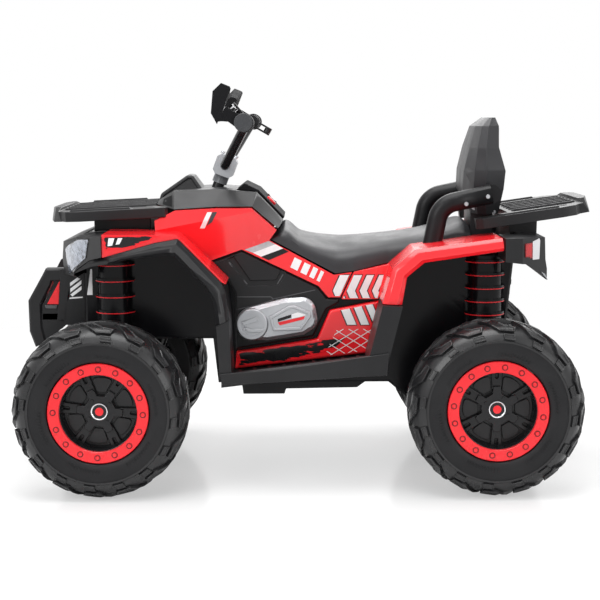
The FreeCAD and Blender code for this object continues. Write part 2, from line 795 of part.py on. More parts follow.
def front_bumper():
    outer = body_points(bar_outer_shares)
    inner = body_points(bar_inner_shares)
    hoop = side_prism(outer + inner[::-1], -hoop_inner, -hoop_outer)
    hoop = bevelled(hoop, -hoop_outer, edge_bevel)
    foot = side_prism(body_points(bar_foot_shares), -hoop_inner, -hoop_outer + edge_bevel)
    hoop = hoop.fuse(foot).cut(blank)
    x, z = body_points([bumper_bar_share])[0]
    bar_reach = hoop_outer - edge_bevel
    bar = rod(bumper_bar_radius, vector(x, -bar_reach, z), vector(x, bar_reach, z))
    skid = across(body_points(skid_shares), hoop_inner)
    return both_sides(hoop).fuse([bar, skid])


def front_grille():
    top, nose, foot = body_points(grille_shares)
    grille = across([top, nose, foot], grille_half_width)
    slots = []
    for index in range(grille_slot_count):
        share = (index + 1) / (grille_slot_count + 1)
        x = nose[0] + (top[0] - nose[0]) * share
        z = nose[1] + (top[1] - nose[1]) * share
        slots.append(box(x - grille_slot_depth, x + grille_slot_depth, -grille_slot_reach, grille_slot_reach,
                         z - grille_slot_height / 2, z + grille_slot_height / 2))
    return grille.cut(slots + [blank])


save("front_bumper", front_bumper())
save("front_grille", front_grille())

# Luggage racks: slotted decks with a raised lip, each on a pedestal.
front_rack_plan_shares = [
    (0.1175, 0.5), (0.165, 0.9), (0.1575, 0.97), (0.1125, 1), (-0.0625, 1), (-0.1, 0.94),
    (-0.115, 0.84), (-0.1375, 0.8), (-0.15, 0.55)]
front_rack_slots_shares = [
    (-0.1, 0.09, 0.36, 0.46), (-0.1, 0.1, 0.54, 0.64), (-0.085, 0.12, 0.72, 0.8),
    (-0.0125, 0.046, 0.88, 0.94), (0.075, 0.13, 0.88, 0.94)]
front_deck_share = (-0.15, 1.112)
front_deck_tilt = 2.6
front_pedestal_shares = [
    (-0.0375, 1.04), (-0.0375, 1.2), (0.1125, 1.2), (0.1125, 1.04)]
rear_rack_plan_shares = [
    (1.0588, 0.62), (0.98, 0.74), (0.965, 0.8), (0.965, 0.93), (0.9825, 1), (1.1875, 1), (1.225, 0.95),
    (1.24, 0.84), (1.265, 0.8), (1.2781, 0.5)]
rear_rack_slots_shares = [
    (1.085, 1.235, 0.36, 0.46), (1.075, 1.23, 0.54, 0.64), (1.02, 1.21, 0.72, 0.8),
    (1.0, 1.065, 0.88, 0.94), (1.1, 1.165, 0.88, 0.94)]
rear_deck_share = (0.965, 1.076)
rear_deck_tilt = 8
rear_pedestal_shares = [
    (1.055, 1), (1.07, 1.0006), (1.1325, 1.032), (1.1325, 1.2), (1.055, 1.2)]
deck_thickness = 15
lip_height = 16
lip_depth = 22
pedestal_half_width = 118


def rack(plan_shares, slot_shares, deck_share, deck_tilt, pedestal_shares):
    low_x, low_z = body_points([deck_share])[0]
    half = [(body_x(x_share), -rack_half_width * y_share) for x_share, y_share in plan_shares]
    deck = plan_prism(symmetric(half), low_z, low_z + deck_thickness)
    lip_end = half[-1][0]
    lip_top = low_z + deck_thickness + lip_height
    lip = box(lip_end - lip_depth, lip_end + lip_depth, -rack_half_width, rack_half_width, low_z, lip_top)
    lip = lip.common(plan_prism(symmetric(half), low_z, lip_top))
    slots = []
    for x_from_share, x_to_share, near_share, far_share in slot_shares:
        hole = box(body_x(x_from_share), body_x(x_to_share),
                   rack_half_width * near_share, rack_half_width * far_share,
                   low_z - cut_overrun, low_z + deck_thickness + cut_overrun)
        slots.append(both_sides(hole))
    deck = deck.fuse(lip).cut(slots)
    deck.rotate(vector(low_x, 0, low_z), vector(0, 1, 0), -deck_tilt)
    below = plan_prism(symmetric(half), low_z - fender_height, low_z)
    below.rotate(vector(low_x, 0, low_z), vector(0, 1, 0), -deck_tilt)
    pedestal = across(body_points(pedestal_shares), pedestal_half_width).common(below)
    return deck.fuse(pedestal)


tub_block = across(tub_points, tub_half_width)
front_rack = rack(front_rack_plan_shares, front_rack_slots_shares, front_deck_share,
                  front_deck_tilt, front_pedestal_shares)
save("front_rack", front_rack.cut(tub_block))
rear_rack = rack(rear_rack_plan_shares, rear_rack_slots_shares, rear_deck_share,
                 rear_deck_tilt, rear_pedestal_shares)
save("rear_rack", rear_rack.cut(tub_block))

# Rear fascia with tail lamps at its corners and pointed fins below them.
rear_fascia_side_shares = [
    (1.0225, 0.948), (1.0225, 1.042), (1.07, 1.044), (1.1325, 1.038), (1.135, 0.946), (1.1475, 0.852),
    (1.11, 0.898), (1.075, 0.938)]
rear_fascia_plan_shares = [
    (1.0225, 0.96), (1.065, 0.96), (1.14, 0.74), (1.15, 0.2)]
rear_core_shares = [
    (0.9375, 0.8), (0.9375, 1.2), (1.0725, 1.2), (1.0725, 0.8)]
tail_lens_shares = [
    (1.0825, 1.016), (1.105, 1.026), (1.1113, 0.958), (1.0862, 0.958)]
tail_lens_inner = 190
rear_centre_half_width = 176
fin_line_share = 0.94


def rear_blank():
    side = across(body_points(rear_fascia_side_shares), flare_reach)
    half_plan = [(body_x(x_share), -flare_reach * reach_share)
                 for x_share, reach_share in rear_fascia_plan_shares]
    body = side.common(plan_prism(symmetric(half_plan), 0, 2 * fender_height))
    core = across(body_points(rear_core_shares), rear_centre_half_width)
    pedestal_room = across(body_points(rear_pedestal_shares), pedestal_half_width + seat_gap)
    below_fin = box(body_x(0), body_x(2), -rear_centre_half_width, rear_centre_half_width,
                    0, body_z(fin_line_share))
    return body.cut([core, pedestal_room, below_fin])


def tail_prism(gap):
    return lens_prism(body_points(tail_lens_shares), tail_lens_inner, gap)


tail = rear_blank()
save("rear_fascia", tail.cut(both_sides(tail_prism(0))))
tail_left = tail.common(tail_prism(lens_gap))
save("tail_lamps", Part.Compound([tail_left, mirrored(tail_left)]))

# Backrest: faceted shell lofted upwards, on a post behind the seat.
back_levels_shares = [
    (0.965, 1.035, 1.116, 0.78), (0.9425, 1.0462, 1.224, 0.95), (0.945, 1.05, 1.3, 1),
    (0.96, 1.0325, 1.4, 0.96), (0.9775, 1.035, 1.488, 0.78), (1.0075, 1.0288, 1.524, 0.58)]
back_front_share = 0.55
back_corner_share = 0.88
back_corner_depth_share = 0.22
back_middle_share = 0.5
back_rear_share = 0.84
back_post_shares = [
    (0.965, 0.98), (0.965, 1.12), (1.025, 1.12), (1.025, 0.98)]
back_post_half_width = 60


def backrest():
    sections = []
    for front_share, rear_share, height_share, width_share in back_levels_shares:
        front = body_x(front_share)
        depth = body_x(rear_share) - front
        half = back_half_width * width_share
        outline = [(front, back_front_share), (front + depth * back_corner_depth_share, back_corner_share),
                   (front + depth * back_middle_share, 1), (front + depth, back_rear_share)]
        ring = symmetric([(x, -half * y_share) for x, y_share in outline])
        sections.append([vector(x, y, body_z(height_share)) for x, y in ring])
    shell = ruled_solid(sections)
    post = across(body_points(back_post_shares), back_post_half_width)
    return shell.fuse(post.cut(tub_block))


backrest_shape = backrest()
save("backrest", backrest_shape)

# Tubular armrests from the backrest down to the rear fenders.
arm_shares = [
    (1.005, 1.208), (0.8725, 1.164), (0.8462, 0.96)]
arm_radius = 20
arm_bend = 46
arm_pad = 6


def armrest():
    points = [vector(x, -arm_offset, z) for x, z in body_points(arm_shares)]
    arm = tube(points, arm_bend, arm_radius)
    knuckle_end = points[0]
    lug = rod(arm_radius, knuckle_end, knuckle_end + vector(0, arm_radius + arm_pad, 0))
    arm = arm.fuse(lug)
    fender_top = body_points(rear_outer_shares)
    ground = fender_top + [(fender_top[-1][0], 0), (fender_top[0][0], 0)]
    return arm.cut([side_prism(ground, 0, -2 * fender_reach), backrest_shape, seat_shape])


save_pair("armrest", armrest())


# Wheels: chunky tyre, dished rim and bolted bead ring.
# The tyre's section is in shares of its wall height, from the rim outwards, and of its half width.
sidewall_shares = [
    (0.10, 0.89), (0.24, 0.945), (0.44, 0.955), (0.45, 0.985)]
tread_shares = [
    (0.47, 1), (0.83, 0.74), (0.90, 0.34)]
lug_top_shares = [
    (0.47, 1), (0.72, 0.99), (0.93, 0.84), (1, 0.46)]
tyre_inside_shares = [
    (0.12, 0.60), (0.20, 0.78), (0.44, 0.86), (0.70, 0.70), (0.78, 0.3)]
tyre_lip_share = 0.83
bead_edge_gap = 0.85
ring_room = 1.8
lug_count = 16
lug_inner_share = 0.2
lug_knee_share = 0.62
lug_width = 17
lug_skew = 26
lug_boot = 5
lug_root_share = 0.42
rib_share = 0.10
rib_root_drop = 4
rim_radius = 100
rim_wall = 6
rim_back = 50
rim_front = 46
flange_depth = 6
dish_taper = 4.5
dish_depth = 18
disc_thickness = 12
hub_radius = 24
hub_back = 48
cap_radius = 17.5
cap_height = 12
spoke_count = 6
spoke_width = 27
window_inner = 36
window_margin = 3
window_depth = 8
window_pad_height = 3
window_pad_gap = 4
spoke_notch_width = 7
spoke_notch_length = 11
spoke_notch_depth = 3
star_reach = 50
star_tip_width = 21
star_valley = 31
spoke_hub_height = 6
star_bevel = 1.5
wheel_bolt_count = 4
wheel_bolt_circle = 26
wheel_bolt_radius = 4
wheel_bolt_height = 2.5
cap_bevel = 2
bead_ring_lap = 1.5
bead_ring_width = 23
bead_ring_depth = 8
bead_bolt_count = 16
bead_bolt_radius = 4.5
bead_bolt_height = 3

tyre_radius = tyre_diameter / 2
tyre_half_width = tyre_width / 2
bead_ring_outer = rim_radius + bead_ring_lap
bead_ring_inner = bead_ring_outer - bead_ring_width
bead_bolt_circle = (bead_ring_outer + bead_ring_inner) / 2
dish_radius = bead_ring_inner - dish_taper
window_outer = dish_radius - window_margin
wheel_axis = vector(0, 1, 0)
wheel_middle = vector(0, 0, 0)


def spun(points):
    corners = [vector(radius, y, 0) for radius, y in points]
    face = Part.Face(Part.makePolygon(corners + corners[:1]))
    return face.revolve(wheel_middle, wheel_axis, 360)


def pattern(shape, count, start_share):
    copies = []
    for index in range(count):
        copy = shape.copy()
        copy.rotate(wheel_middle, wheel_axis, (index + start_share) * 360 / count)
        copies.append(copy)
    return copies


def section_points(shares):
    wall_height = tyre_radius - rim_radius
    return [(rim_radius + height_share * wall_height, width_share * tyre_half_width)
            for height_share, width_share in shares]


def tyre():
    bead_edge = rim_front - bead_edge_gap
    ring_clear = bead_ring_outer + ring_room
    bead = [(rim_radius + seat_gap, bead_edge), (ring_clear, bead_edge),
            (ring_clear, tyre_half_width * tyre_lip_share)]
    tread = section_points(tread_shares)
    half = section_points(tyre_inside_shares)[::-1] + bead + section_points(sidewall_shares) + tread
    carcass = spun(half + [(radius, -y) for radius, y in reversed(half)])
    root = section_points([(lug_root_share, 1)])[0][0]
    lug_top = section_points(lug_top_shares)
    band = spun([(root, 0), (root, lug_top[0][1])] + lug_top + [(tyre_radius, 0)])
    inner_y = tyre_half_width * lug_inner_share
    half_bar = lug_width / 2
    knee_y = tyre_half_width * lug_knee_share
    bar = [vector(-half_bar, inner_y, 0), vector(half_bar, inner_y, 0),
           vector(half_bar + lug_skew - lug_boot, knee_y, 0),
           vector(half_bar + lug_skew + lug_boot, tyre_half_width, 0),
           vector(lug_skew - half_bar - lug_boot, tyre_half_width, 0),
           vector(lug_skew - half_bar - lug_boot, knee_y, 0)]
    face = Part.Face(Part.makePolygon(bar + bar[:1]))
    lug = face.extrude(vector(0, 0, tyre_diameter)).common(band)
    right_lugs = pattern(lug, lug_count, 0)
    left_lugs = pattern(mirrored(lug), lug_count, 1 / 2)
    rib_half = tyre_half_width * rib_share
    rib_root = tread[-1][0] - rib_root_drop
    rib = spun([(rib_root, rib_half), (tyre_radius, rib_half),
                (tyre_radius, -rib_half), (rib_root, -rib_half)])
    return carcass.fuse(right_lugs + left_lugs + [rib])


def wheel_plate(points, y_from, y_to):
    corners = [vector(x, y_from, z) for x, z in points]
    return Part.Face(Part.makePolygon(corners + corners[:1])).extrude(vector(0, y_to - y_from, 0))


def window_outline(gap):
    # Between two spokes, with sides parallel to them and its middle on +X.
    half_pitch = math.pi / spoke_count
    offset = spoke_width / 2 + gap
    side = []
    for radius in (window_inner + gap, window_outer - gap):
        side.append((radius * math.cos(half_pitch) + offset * math.sin(half_pitch),
                     radius * math.sin(half_pitch) - offset * math.cos(half_pitch)))
    return [(x, -z) for x, z in side] + [(window_outer - gap, 0)] + side[::-1]


def star_outline():
    points = []
    for index in range(spoke_count):
        turn = 2 * math.pi * (index + 1 / 2) / spoke_count
        along = (math.cos(turn), math.sin(turn))
        for edge in (-1, 1):
            aside = edge * star_tip_width / 2
            points.append((star_reach * along[0] - aside * along[1],
                           star_reach * along[1] + aside * along[0]))
        valley = turn + math.pi / spoke_count
        points.append((star_valley * math.cos(valley), star_valley * math.sin(valley)))
    return points


def rim():
    floor = rim_front - dish_depth
    star_top = floor + spoke_hub_height
    barrel = rim_radius - rim_wall
    profile = [(0, -hub_back), (hub_radius, -hub_back), (hub_radius, floor - disc_thickness),
               (barrel, floor - disc_thickness), (barrel, -rim_back), (rim_radius, -rim_back),
               (rim_radius, rim_front), (bead_ring_outer, rim_front),
               (bead_ring_outer, rim_front + flange_depth),
               (bead_ring_inner, rim_front + flange_depth), (dish_radius, floor), (0, floor)]
    body = spun(profile)
    window = wheel_plate(window_outline(0), floor - window_depth, floor + cut_overrun)
    notch_from = dish_radius - spoke_notch_length
    notch = box(notch_from, dish_radius, floor - spoke_notch_depth, floor + cut_overrun,
                -spoke_notch_width / 2, spoke_notch_width / 2)
    body = body.cut(pattern(window, spoke_count, 0) + pattern(notch, spoke_count, 1 / 2))
    pad_top = floor - window_depth + window_pad_height
    pad = wheel_plate(window_outline(window_pad_gap), floor - window_depth, pad_top)
    star = wheel_plate(star_outline(), floor, star_top)
    star = bevelled(star, star_top, star_bevel)
    bolt_foot = vector(wheel_bolt_circle, star_top, 0)
    bolt = Part.makeCylinder(wheel_bolt_radius, wheel_bolt_height, bolt_foot, wheel_axis)
    cap = rod(cap_radius, vector(0, star_top, 0), vector(0, floor + cap_height, 0))
    cap = bevelled(cap, floor + cap_height, cap_bevel)
    trim = pattern(pad, spoke_count, 0) + [star, cap] + pattern(bolt, wheel_bolt_count, 1 / 2)
    bore_start = -hub_back - cut_overrun
    bore = rod(axle_diameter / 2 + running_fit, vector(0, bore_start, 0), vector(0, star_top, 0))
    return body.fuse(trim).cut(bore)


def bead_ring():
    seat = rim_front + flange_depth
    face = seat + bead_ring_depth
    ring = spun([(bead_ring_inner, seat), (bead_ring_outer, seat),
                 (bead_ring_outer, face), (bead_ring_inner, face)])
    bolt_foot = vector(bead_bolt_circle, face, 0)
    bolt = Part.makeCylinder(bead_bolt_radius, bead_bolt_height, bolt_foot, wheel_axis)
    return ring.fuse(pattern(bolt, bead_bolt_count, 0))


wheel_parts = (("tyre", tyre()), ("rim", rim()), ("bead_ring", bead_ring()))
for end, axle_x in (("front", front_axle_x), ("rear", rear_axle_x)):
    for part_name, right_part in wheel_parts:
        right_wheel = right_part.copy()
        right_wheel.translate(vector(axle_x, wheel_offset, axle_height))
        save(end + "_" + part_name + "_right", right_wheel)
        save(end + "_" + part_name + "_left", mirrored(right_wheel))

# Rear axle and the geared drive units beside the rear wheels.
axle_end_gap = 3
drive_case_shares = [
    (-0.62, -0.36), (-0.62, 0.30), (-0.30, 0.42), (0.26, 0.30), (0.30, -0.24), (0.10, -0.40)]
drive_case_width = 58
motor_radius = 21
motor_length = 20
motor_share = -0.42
drive_boss_radius = 20
boss_gap = 0.4

axle_end = wheel_offset + rim_front - dish_depth + spoke_hub_height - axle_end_gap
hub_inner = wheel_offset - hub_back


def rear_rod(radius, y_from, y_to):
    return rod(radius, vector(rear_axle_x, y_from, axle_height), vector(rear_axle_x, y_to, axle_height))


def rear_axle():
    return rear_rod(axle_diameter / 2, -axle_end, axle_end)


def drive_unit():
    case_points = [(rear_axle_x + x_share * tyre_radius, axle_height + z_share * tyre_radius)
                   for x_share, z_share in drive_case_shares]
    outer = -tub_half_width - drive_case_width
    case = bevelled(side_prism(case_points, -tub_half_width, outer), outer, edge_bevel)
    motor_x = rear_axle_x + motor_share * tyre_radius
    motor_start = vector(motor_x, outer, axle_height)
    motor = rod(motor_radius, motor_start, motor_start - wheel_axis * motor_length)
    boss = rear_rod(drive_boss_radius, outer, boss_gap - hub_inner)
    bore = rear_rod(axle_diameter / 2 + running_fit, 0, -track)
    return case.fuse([motor, boss]).cut(bore)


save("rear_axle", rear_axle())
save_pair("drive_unit", drive_unit())

# Front beam with king pin sleeves, and the C-shaped knuckles that turn in them.
king_pin_offset = 190
king_pin_radius = 7
sleeve_radius = 13
beam_half_width = 16
yoke_inner = 17
yoke_thickness = 10
yoke_half_length = 22
steer_arm_width = 18
arm_pin_radius = 4
stub_flange_radius = 17



def front_beam():
    z = axle_height
    bar_end = king_pin_offset - sleeve_radius / 2
    beam = box(front_axle_x - beam_half_width, front_axle_x + beam_half_width, -bar_end, bar_end,
               z - beam_half_height, z + beam_half_height)
    for side in (-1, 1):
        y = side * king_pin_offset
        sleeve_foot = vector(front_axle_x, y, z - sleeve_half_height)
        sleeve = Part.makeCylinder(sleeve_radius, 2 * sleeve_half_height, sleeve_foot)
        beam = beam.fuse(sleeve)
    for side in (-1, 1):
        y = side * king_pin_offset
        bore_foot = vector(front_axle_x, y, 0)
        beam = beam.cut(Part.makeCylinder(king_pin_radius + running_fit, 2 * axle_height, bore_foot))
    return beam


tie_bar_height = 6


def knuckle():
    x, y, z = front_axle_x, -king_pin_offset, axle_height
    yoke_in = y - yoke_inner
    yoke_out = yoke_in - yoke_thickness
    yoke = box(x - yoke_half_length, x + yoke_half_length, yoke_out, yoke_in,
               z - lug_outer_z, z + lug_outer_z)
    pieces = []
    for low in (z - lug_outer_z, z + lug_inner_z):
        lug = box(x - sleeve_radius, x + sleeve_radius, yoke_in, y, low, low + lug_thickness)
        pieces.append(lug)
        pieces.append(rod(sleeve_radius, vector(x, y, low), vector(x, y, low + lug_thickness)))
    pieces.append(rod(king_pin_radius, vector(x, y, z - lug_outer_z), vector(x, y, z + lug_outer_z)))
    arm_end = x + steer_arm_length
    half_arm = steer_arm_width / 2
    pieces.append(box(x, arm_end, y - half_arm, y + half_arm, arm_low_z, arm_low_z + lug_thickness))
    pieces.append(Part.makeCylinder(half_arm, lug_thickness, vector(arm_end, y, arm_low_z)))
    pin_foot = tie_top_z - tie_bar_height - tie_gap
    pieces.append(rod(arm_pin_radius, vector(arm_end, y, pin_foot), vector(arm_end, y, arm_low_z + tie_gap)))
    pieces.append(rod(stub_flange_radius, vector(x, yoke_out, z), vector(x, boss_gap - hub_inner, z)))
    pieces.append(rod(axle_diameter / 2, vector(x, yoke_out, z), vector(x, -axle_end, z)))
    return yoke.fuse(pieces)


save("front_beam", front_beam())
save_pair("knuckle", knuckle())

# Steering column with its crank, and the tie rod that joins the two steering arms.
crank_width = 20
crank_thickness = 8
crank_pin_radius = 5
clamp_length = 46
clamp_depth = 46
clamp_half_width = 27
clamp_start = 34
bar_height = 58
tie_half_depth = 11
slot_clearance = 0.8
tie_centre_half_width = 26

tie_middle_z = tie_top_z - tie_bar_height / 2
crank_tip = column_foot + crank_out * crank_radius
pin_end = crank_tip - column_axis * ((crank_tip.z - tie_top_z + tie_bar_height + tie_gap) / column_axis.z)
pin_at_bar = crank_tip - column_axis * ((crank_tip.z - tie_middle_z) / column_axis.z)


def column_frame(shape):
    placed = shape.copy()
    placed.Placement = FreeCAD.Placement(column_base, FreeCAD.Rotation(vector(0, 1, 0), column_tilt))
    return placed


def steering_column():
    shaft = rod(column_radius, column_foot, column_base + column_axis * (clamp_start + column_radius))
    plate_low = column_foot - column_axis * crank_thickness
    hub = rod(column_radius, plate_low, column_foot)
    web_local = box(0, crank_radius, -crank_width / 2, crank_width / 2, -crank_thickness, 0)
    web_local.Placement = FreeCAD.Placement(column_foot, FreeCAD.Rotation(vector(0, 1, 0), column_tilt))
    tip = rod(crank_width / 2, crank_tip - column_axis * crank_thickness, crank_tip)
    pin = rod(crank_pin_radius, pin_end, crank_tip)
    return shaft.fuse([hub, web_local, tip, pin])


def tie_rod():
    bar = box(tie_x - tie_half_depth, tie_x + tie_half_depth, -king_pin_offset, king_pin_offset,
              tie_top_z - tie_bar_height, tie_top_z)
    crank_sweep = crank_radius * (1 - math.cos(math.radians(bar_lock)))
    arm_sweep = steer_arm_length * (1 - math.cos(math.radians(wheel_lock)))
    pieces = []
    slots = []
    for side in (-1, 1):
        y = side * king_pin_offset
        eye_foot = vector(tie_x, y, tie_top_z - tie_bar_height)
        pieces.append(Part.makeCylinder(tie_half_depth, tie_bar_height, eye_foot))
        room = arm_pin_radius + slot_clearance
        slots.append(box(tie_x - arm_sweep - room, tie_x + room, y - room, y + room, 0, axle_height))
    centre_front = pin_at_bar.x - crank_sweep - crank_pin_radius - 2 * tie_half_depth
    pieces.append(box(centre_front, tie_x + 2 * tie_half_depth,
                      -tie_centre_half_width, tie_centre_half_width,
                      tie_top_z - tie_bar_height, tie_top_z))
    room = crank_pin_radius / column_axis.z + 2 * slot_clearance
    slot_half = crank_pin_radius + slot_clearance
    slots.append(box(pin_at_bar.x - crank_sweep - room, pin_at_bar.x + room,
                     -slot_half, slot_half, 0, axle_height))
    return bar.fuse(pieces).cut(slots)


save("steering_column", steering_column())
save("tie_rod", tie_rod())

# Handlebar with end plugs and lever perches, in a split clamp on the column.
bar_radius = 10
bar_bend = 34
bar_centre_reach = 48
bar_grip_start = 165
bar_half_width = 306
bar_rise = 92
bar_setback = 53
plug_radius = 18.5
plug_length = 6
perch_radius = 15
perch_from = 166
perch_to = 182
grip_radius = 16.5
grip_from = 184
grip_to = 281
grip_ring_count = 7
grip_groove_depth = 1
guard_arm_from = 282
guard_arm_to = 299
clamp_bolt_radius = 4

bar_centre = column_base + column_axis * bar_height
grip_centre = bar_centre + vector(bar_setback, 0, bar_rise)


def bar_clamp():
    low = clamp_start
    block = box(-clamp_depth / 2, clamp_depth / 2, -clamp_half_width, clamp_half_width,
                low, low + clamp_length)
    crosswise = [edge for edge in block.Edges
                 if abs(edge.Vertexes[0].Y - edge.Vertexes[1].Y) > clamp_half_width]
    block = block.makeChamfer(2 * edge_bevel, crosswise)
    collar = Part.makeCylinder(column_radius + edge_bevel, low / 2, vector(0, 0, low / 2))
    block = column_frame(block.fuse(collar))
    bore_end = column_base + column_axis * (clamp_start + column_radius + seat_gap)
    bore = rod(column_radius + running_fit, column_base, bore_end)
    bar_reach = wheel_axis * track
    bar_hole = rod(bar_radius + running_fit, bar_centre - bar_reach, bar_centre + bar_reach)
    bolts = []
    for x_side in (-1, 1):
        for y_side in (-1, 1):
            spot = vector(x_side * clamp_depth / 3, y_side * clamp_half_width * 2 / 3, low + clamp_length)
            bolts.append(column_frame(Part.makeCylinder(clamp_bolt_radius, clamp_bolt_radius, spot)))
    return block.cut([bore, bar_hole]).fuse(bolts)


def handlebar():
    points = []
    for side in (-1, 1):
        run = [vector(grip_centre.x, side * (bar_half_width - plug_length), grip_centre.z),
               vector(grip_centre.x, side * bar_grip_start, grip_centre.z),
               vector(bar_centre.x, side * bar_centre_reach, bar_centre.z)]
        points = points + (run if side < 0 else run[::-1])
    bar = tube(points, bar_bend, bar_radius)
    for side in (-1, 1):
        start = vector(grip_centre.x, side * (bar_half_width - plug_length), grip_centre.z)
        plug = rod(plug_radius, start, start + wheel_axis * (side * plug_length))
        perch_start = vector(grip_centre.x, side * perch_from, grip_centre.z)
        perch = rod(perch_radius, perch_start, perch_start + wheel_axis * (side * (perch_to - perch_from)))
        bar = bar.fuse([plug, perch])
    return bar


def grip():
    start = vector(grip_centre.x, -grip_from, grip_centre.z)
    end = vector(grip_centre.x, -grip_to, grip_centre.z)
    sleeve = rod(grip_radius, start, end)
    pitch = (grip_to - grip_from) / (grip_ring_count + 1)
    grooves = []
    for index in range(grip_ring_count):
        y = -grip_from - (index + 1) * pitch
        middle = vector(grip_centre.x, y, grip_centre.z)
        groove_end = middle - wheel_axis * (pitch / 3)
        ring = rod(grip_radius + cut_overrun, middle, groove_end)
        grooves.append(ring.cut(rod(grip_radius - grip_groove_depth, middle, groove_end)))
    bore = rod(bar_radius + running_fit, start, end)
    return sleeve.cut(grooves + [bore])


save("bar_clamp", bar_clamp())
save_pair("grip", grip())

# Hand guards: a faceted shield in front of each grip on a ribbed arm at the bar end.
guard_outer_shares = [
    (-0.489, 0.859), (-0.304, 0.783), (-0.283, 0.739), (-0.38, 0.5), (-0.587, -0.022), (-0.717, 0.217),
    (-0.674, 0.685)]
guard_inner_shares = [
    (-0.533, 0.63), (-0.402, 0.587), (-0.38, 0.543), (-0.467, 0.37), (-0.62, 0.065), (-0.696, 0.217),
    (-0.685, 0.522)]
guard_arm_shares = [
    (-0.087, 0.168), (-0.402, 0.359), (-0.598, 0.033), (-0.489, 0.043), (-0.348, 0.033),
    (-0.141, -0.12)]
guard_inner_y = 196
guard_arm_radius = 17


def hand_guard():
    def ring(shares, y):
        return [vector(grip_centre.x + x_share * bar_rise, -y, grip_centre.z + z_share * bar_rise)
                for x_share, z_share in shares]
    shield = ruled_solid([ring(guard_outer_shares, guard_arm_to), ring(guard_inner_shares, guard_inner_y)])
    arm_points = [(grip_centre.x + x_share * bar_rise, grip_centre.z + z_share * bar_rise)
                  for x_share, z_share in guard_arm_shares]
    arm = side_prism(arm_points, -guard_arm_from, -guard_arm_to)
    eye_start = vector(grip_centre.x, -guard_arm_from, grip_centre.z)
    eye_end = vector(grip_centre.x, -guard_arm_to, grip_centre.z)
    arm = arm.fuse(rod(guard_arm_radius, eye_start, eye_end))
    bore = rod(bar_radius + running_fit, eye_start, eye_end)
    return shield.fuse(arm).cut(bore)


save_pair("hand_guard", hand_guard())

# Brake lever above the left grip and thumb throttle behind the right one.
lever_pivot_reach = 40
lever_pin_radius = 4
lever_thickness = 8
lever_width = 10
lever_length = 84
thumb_length = 46
lever_boss_radius = 8
lever_perch_y = 174
ear_gap = 0.4
ear_thickness = 4
brake_rise = 50
thumb_drop = 30


def about_bar(shape, turn):
    turned = shape.copy()
    turned.rotate(grip_centre, wheel_axis, turn)
    return turned


def lever(side, forward, length):
    pivot = grip_centre + vector(-forward * lever_pivot_reach, side * lever_perch_y, 0)
    half = lever_thickness / 2
    half_width = lever_width / 2
    low = pivot - vector(0, 0, half)
    rise = vector(0, 0, lever_thickness)
    tip = low + vector(0, side * length, 0)
    boss = rod(lever_boss_radius, low, low + rise)
    y_from, y_to = sorted((pivot.y, pivot.y + side * length))
    blade = box(pivot.x - half_width, pivot.x + half_width, y_from, y_to, low.z, low.z + lever_thickness)
    knob = rod(half_width + half / 2, tip, tip + rise)
    bore = rod(lever_pin_radius + running_fit, low, low + rise)
    return boss.fuse([blade, knob]).cut(bore)


def lever_perch(side, forward):
    pivot = grip_centre + vector(-forward * lever_pivot_reach, side * lever_perch_y, 0)
    half = lever_thickness / 2 + ear_gap
    x_from, x_to = sorted((pivot.x, grip_centre.x - forward * perch_radius / 2))
    ears = []
    for z_side in (-1, 1):
        z_from, z_to = sorted((pivot.z + z_side * half, pivot.z + z_side * (half + ear_thickness)))
        y_from = pivot.y - lever_boss_radius
        ears.append(box(x_from, x_to, y_from, y_from + 2 * lever_boss_radius, z_from, z_to))
        ears.append(Part.makeCylinder(lever_boss_radius, ear_thickness, vector(pivot.x, pivot.y, z_from)))
    pin = rod(lever_pin_radius, pivot - vector(0, 0, half), pivot + vector(0, 0, half))
    bar_room = rod(bar_radius, grip_centre - wheel_axis * track, grip_centre + wheel_axis * track)
    return ears[0].fuse(ears[1:] + [pin]).cut(bar_room)


brake_perch = about_bar(lever_perch(-1, 1), brake_rise)
thumb_perch = about_bar(lever_perch(1, -1), thumb_drop)
save("handlebar", handlebar().fuse([brake_perch, thumb_perch]))
save("brake_lever", about_bar(lever(-1, 1, lever_length), brake_rise))
save("throttle_lever", about_bar(lever(1, -1, thumb_length), thumb_drop))
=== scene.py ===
import json
import math

import bmesh
import bpy
from mathutils import Matrix, Vector
from mathutils.bvhtree import BVHTree


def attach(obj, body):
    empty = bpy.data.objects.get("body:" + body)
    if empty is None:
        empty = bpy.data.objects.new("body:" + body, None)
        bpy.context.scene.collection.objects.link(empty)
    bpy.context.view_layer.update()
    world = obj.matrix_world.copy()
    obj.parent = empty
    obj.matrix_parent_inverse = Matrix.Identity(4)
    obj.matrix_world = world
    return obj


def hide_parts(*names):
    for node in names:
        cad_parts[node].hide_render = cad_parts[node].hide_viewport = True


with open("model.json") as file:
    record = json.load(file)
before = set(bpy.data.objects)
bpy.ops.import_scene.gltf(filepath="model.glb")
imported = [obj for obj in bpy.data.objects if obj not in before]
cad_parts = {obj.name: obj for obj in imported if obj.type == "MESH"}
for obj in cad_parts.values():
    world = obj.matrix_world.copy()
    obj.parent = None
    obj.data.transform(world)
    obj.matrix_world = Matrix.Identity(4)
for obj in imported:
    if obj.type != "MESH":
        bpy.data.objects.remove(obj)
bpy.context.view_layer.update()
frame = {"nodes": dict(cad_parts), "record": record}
nodes = frame["nodes"]
scene = bpy.context.scene
sides = {"left": -1, "right": 1}
bodyOf = {node: body for body, members in frame["record"]["behaviour"]["bodies"].items() for node in members}
slotOf = {row["node"]: row["material_slot"] for row in frame["record"]["subparts"]}
print("frame loaded:", len(nodes), "nodes")


# shader helpers: a value that is a socket is linked, any other is set

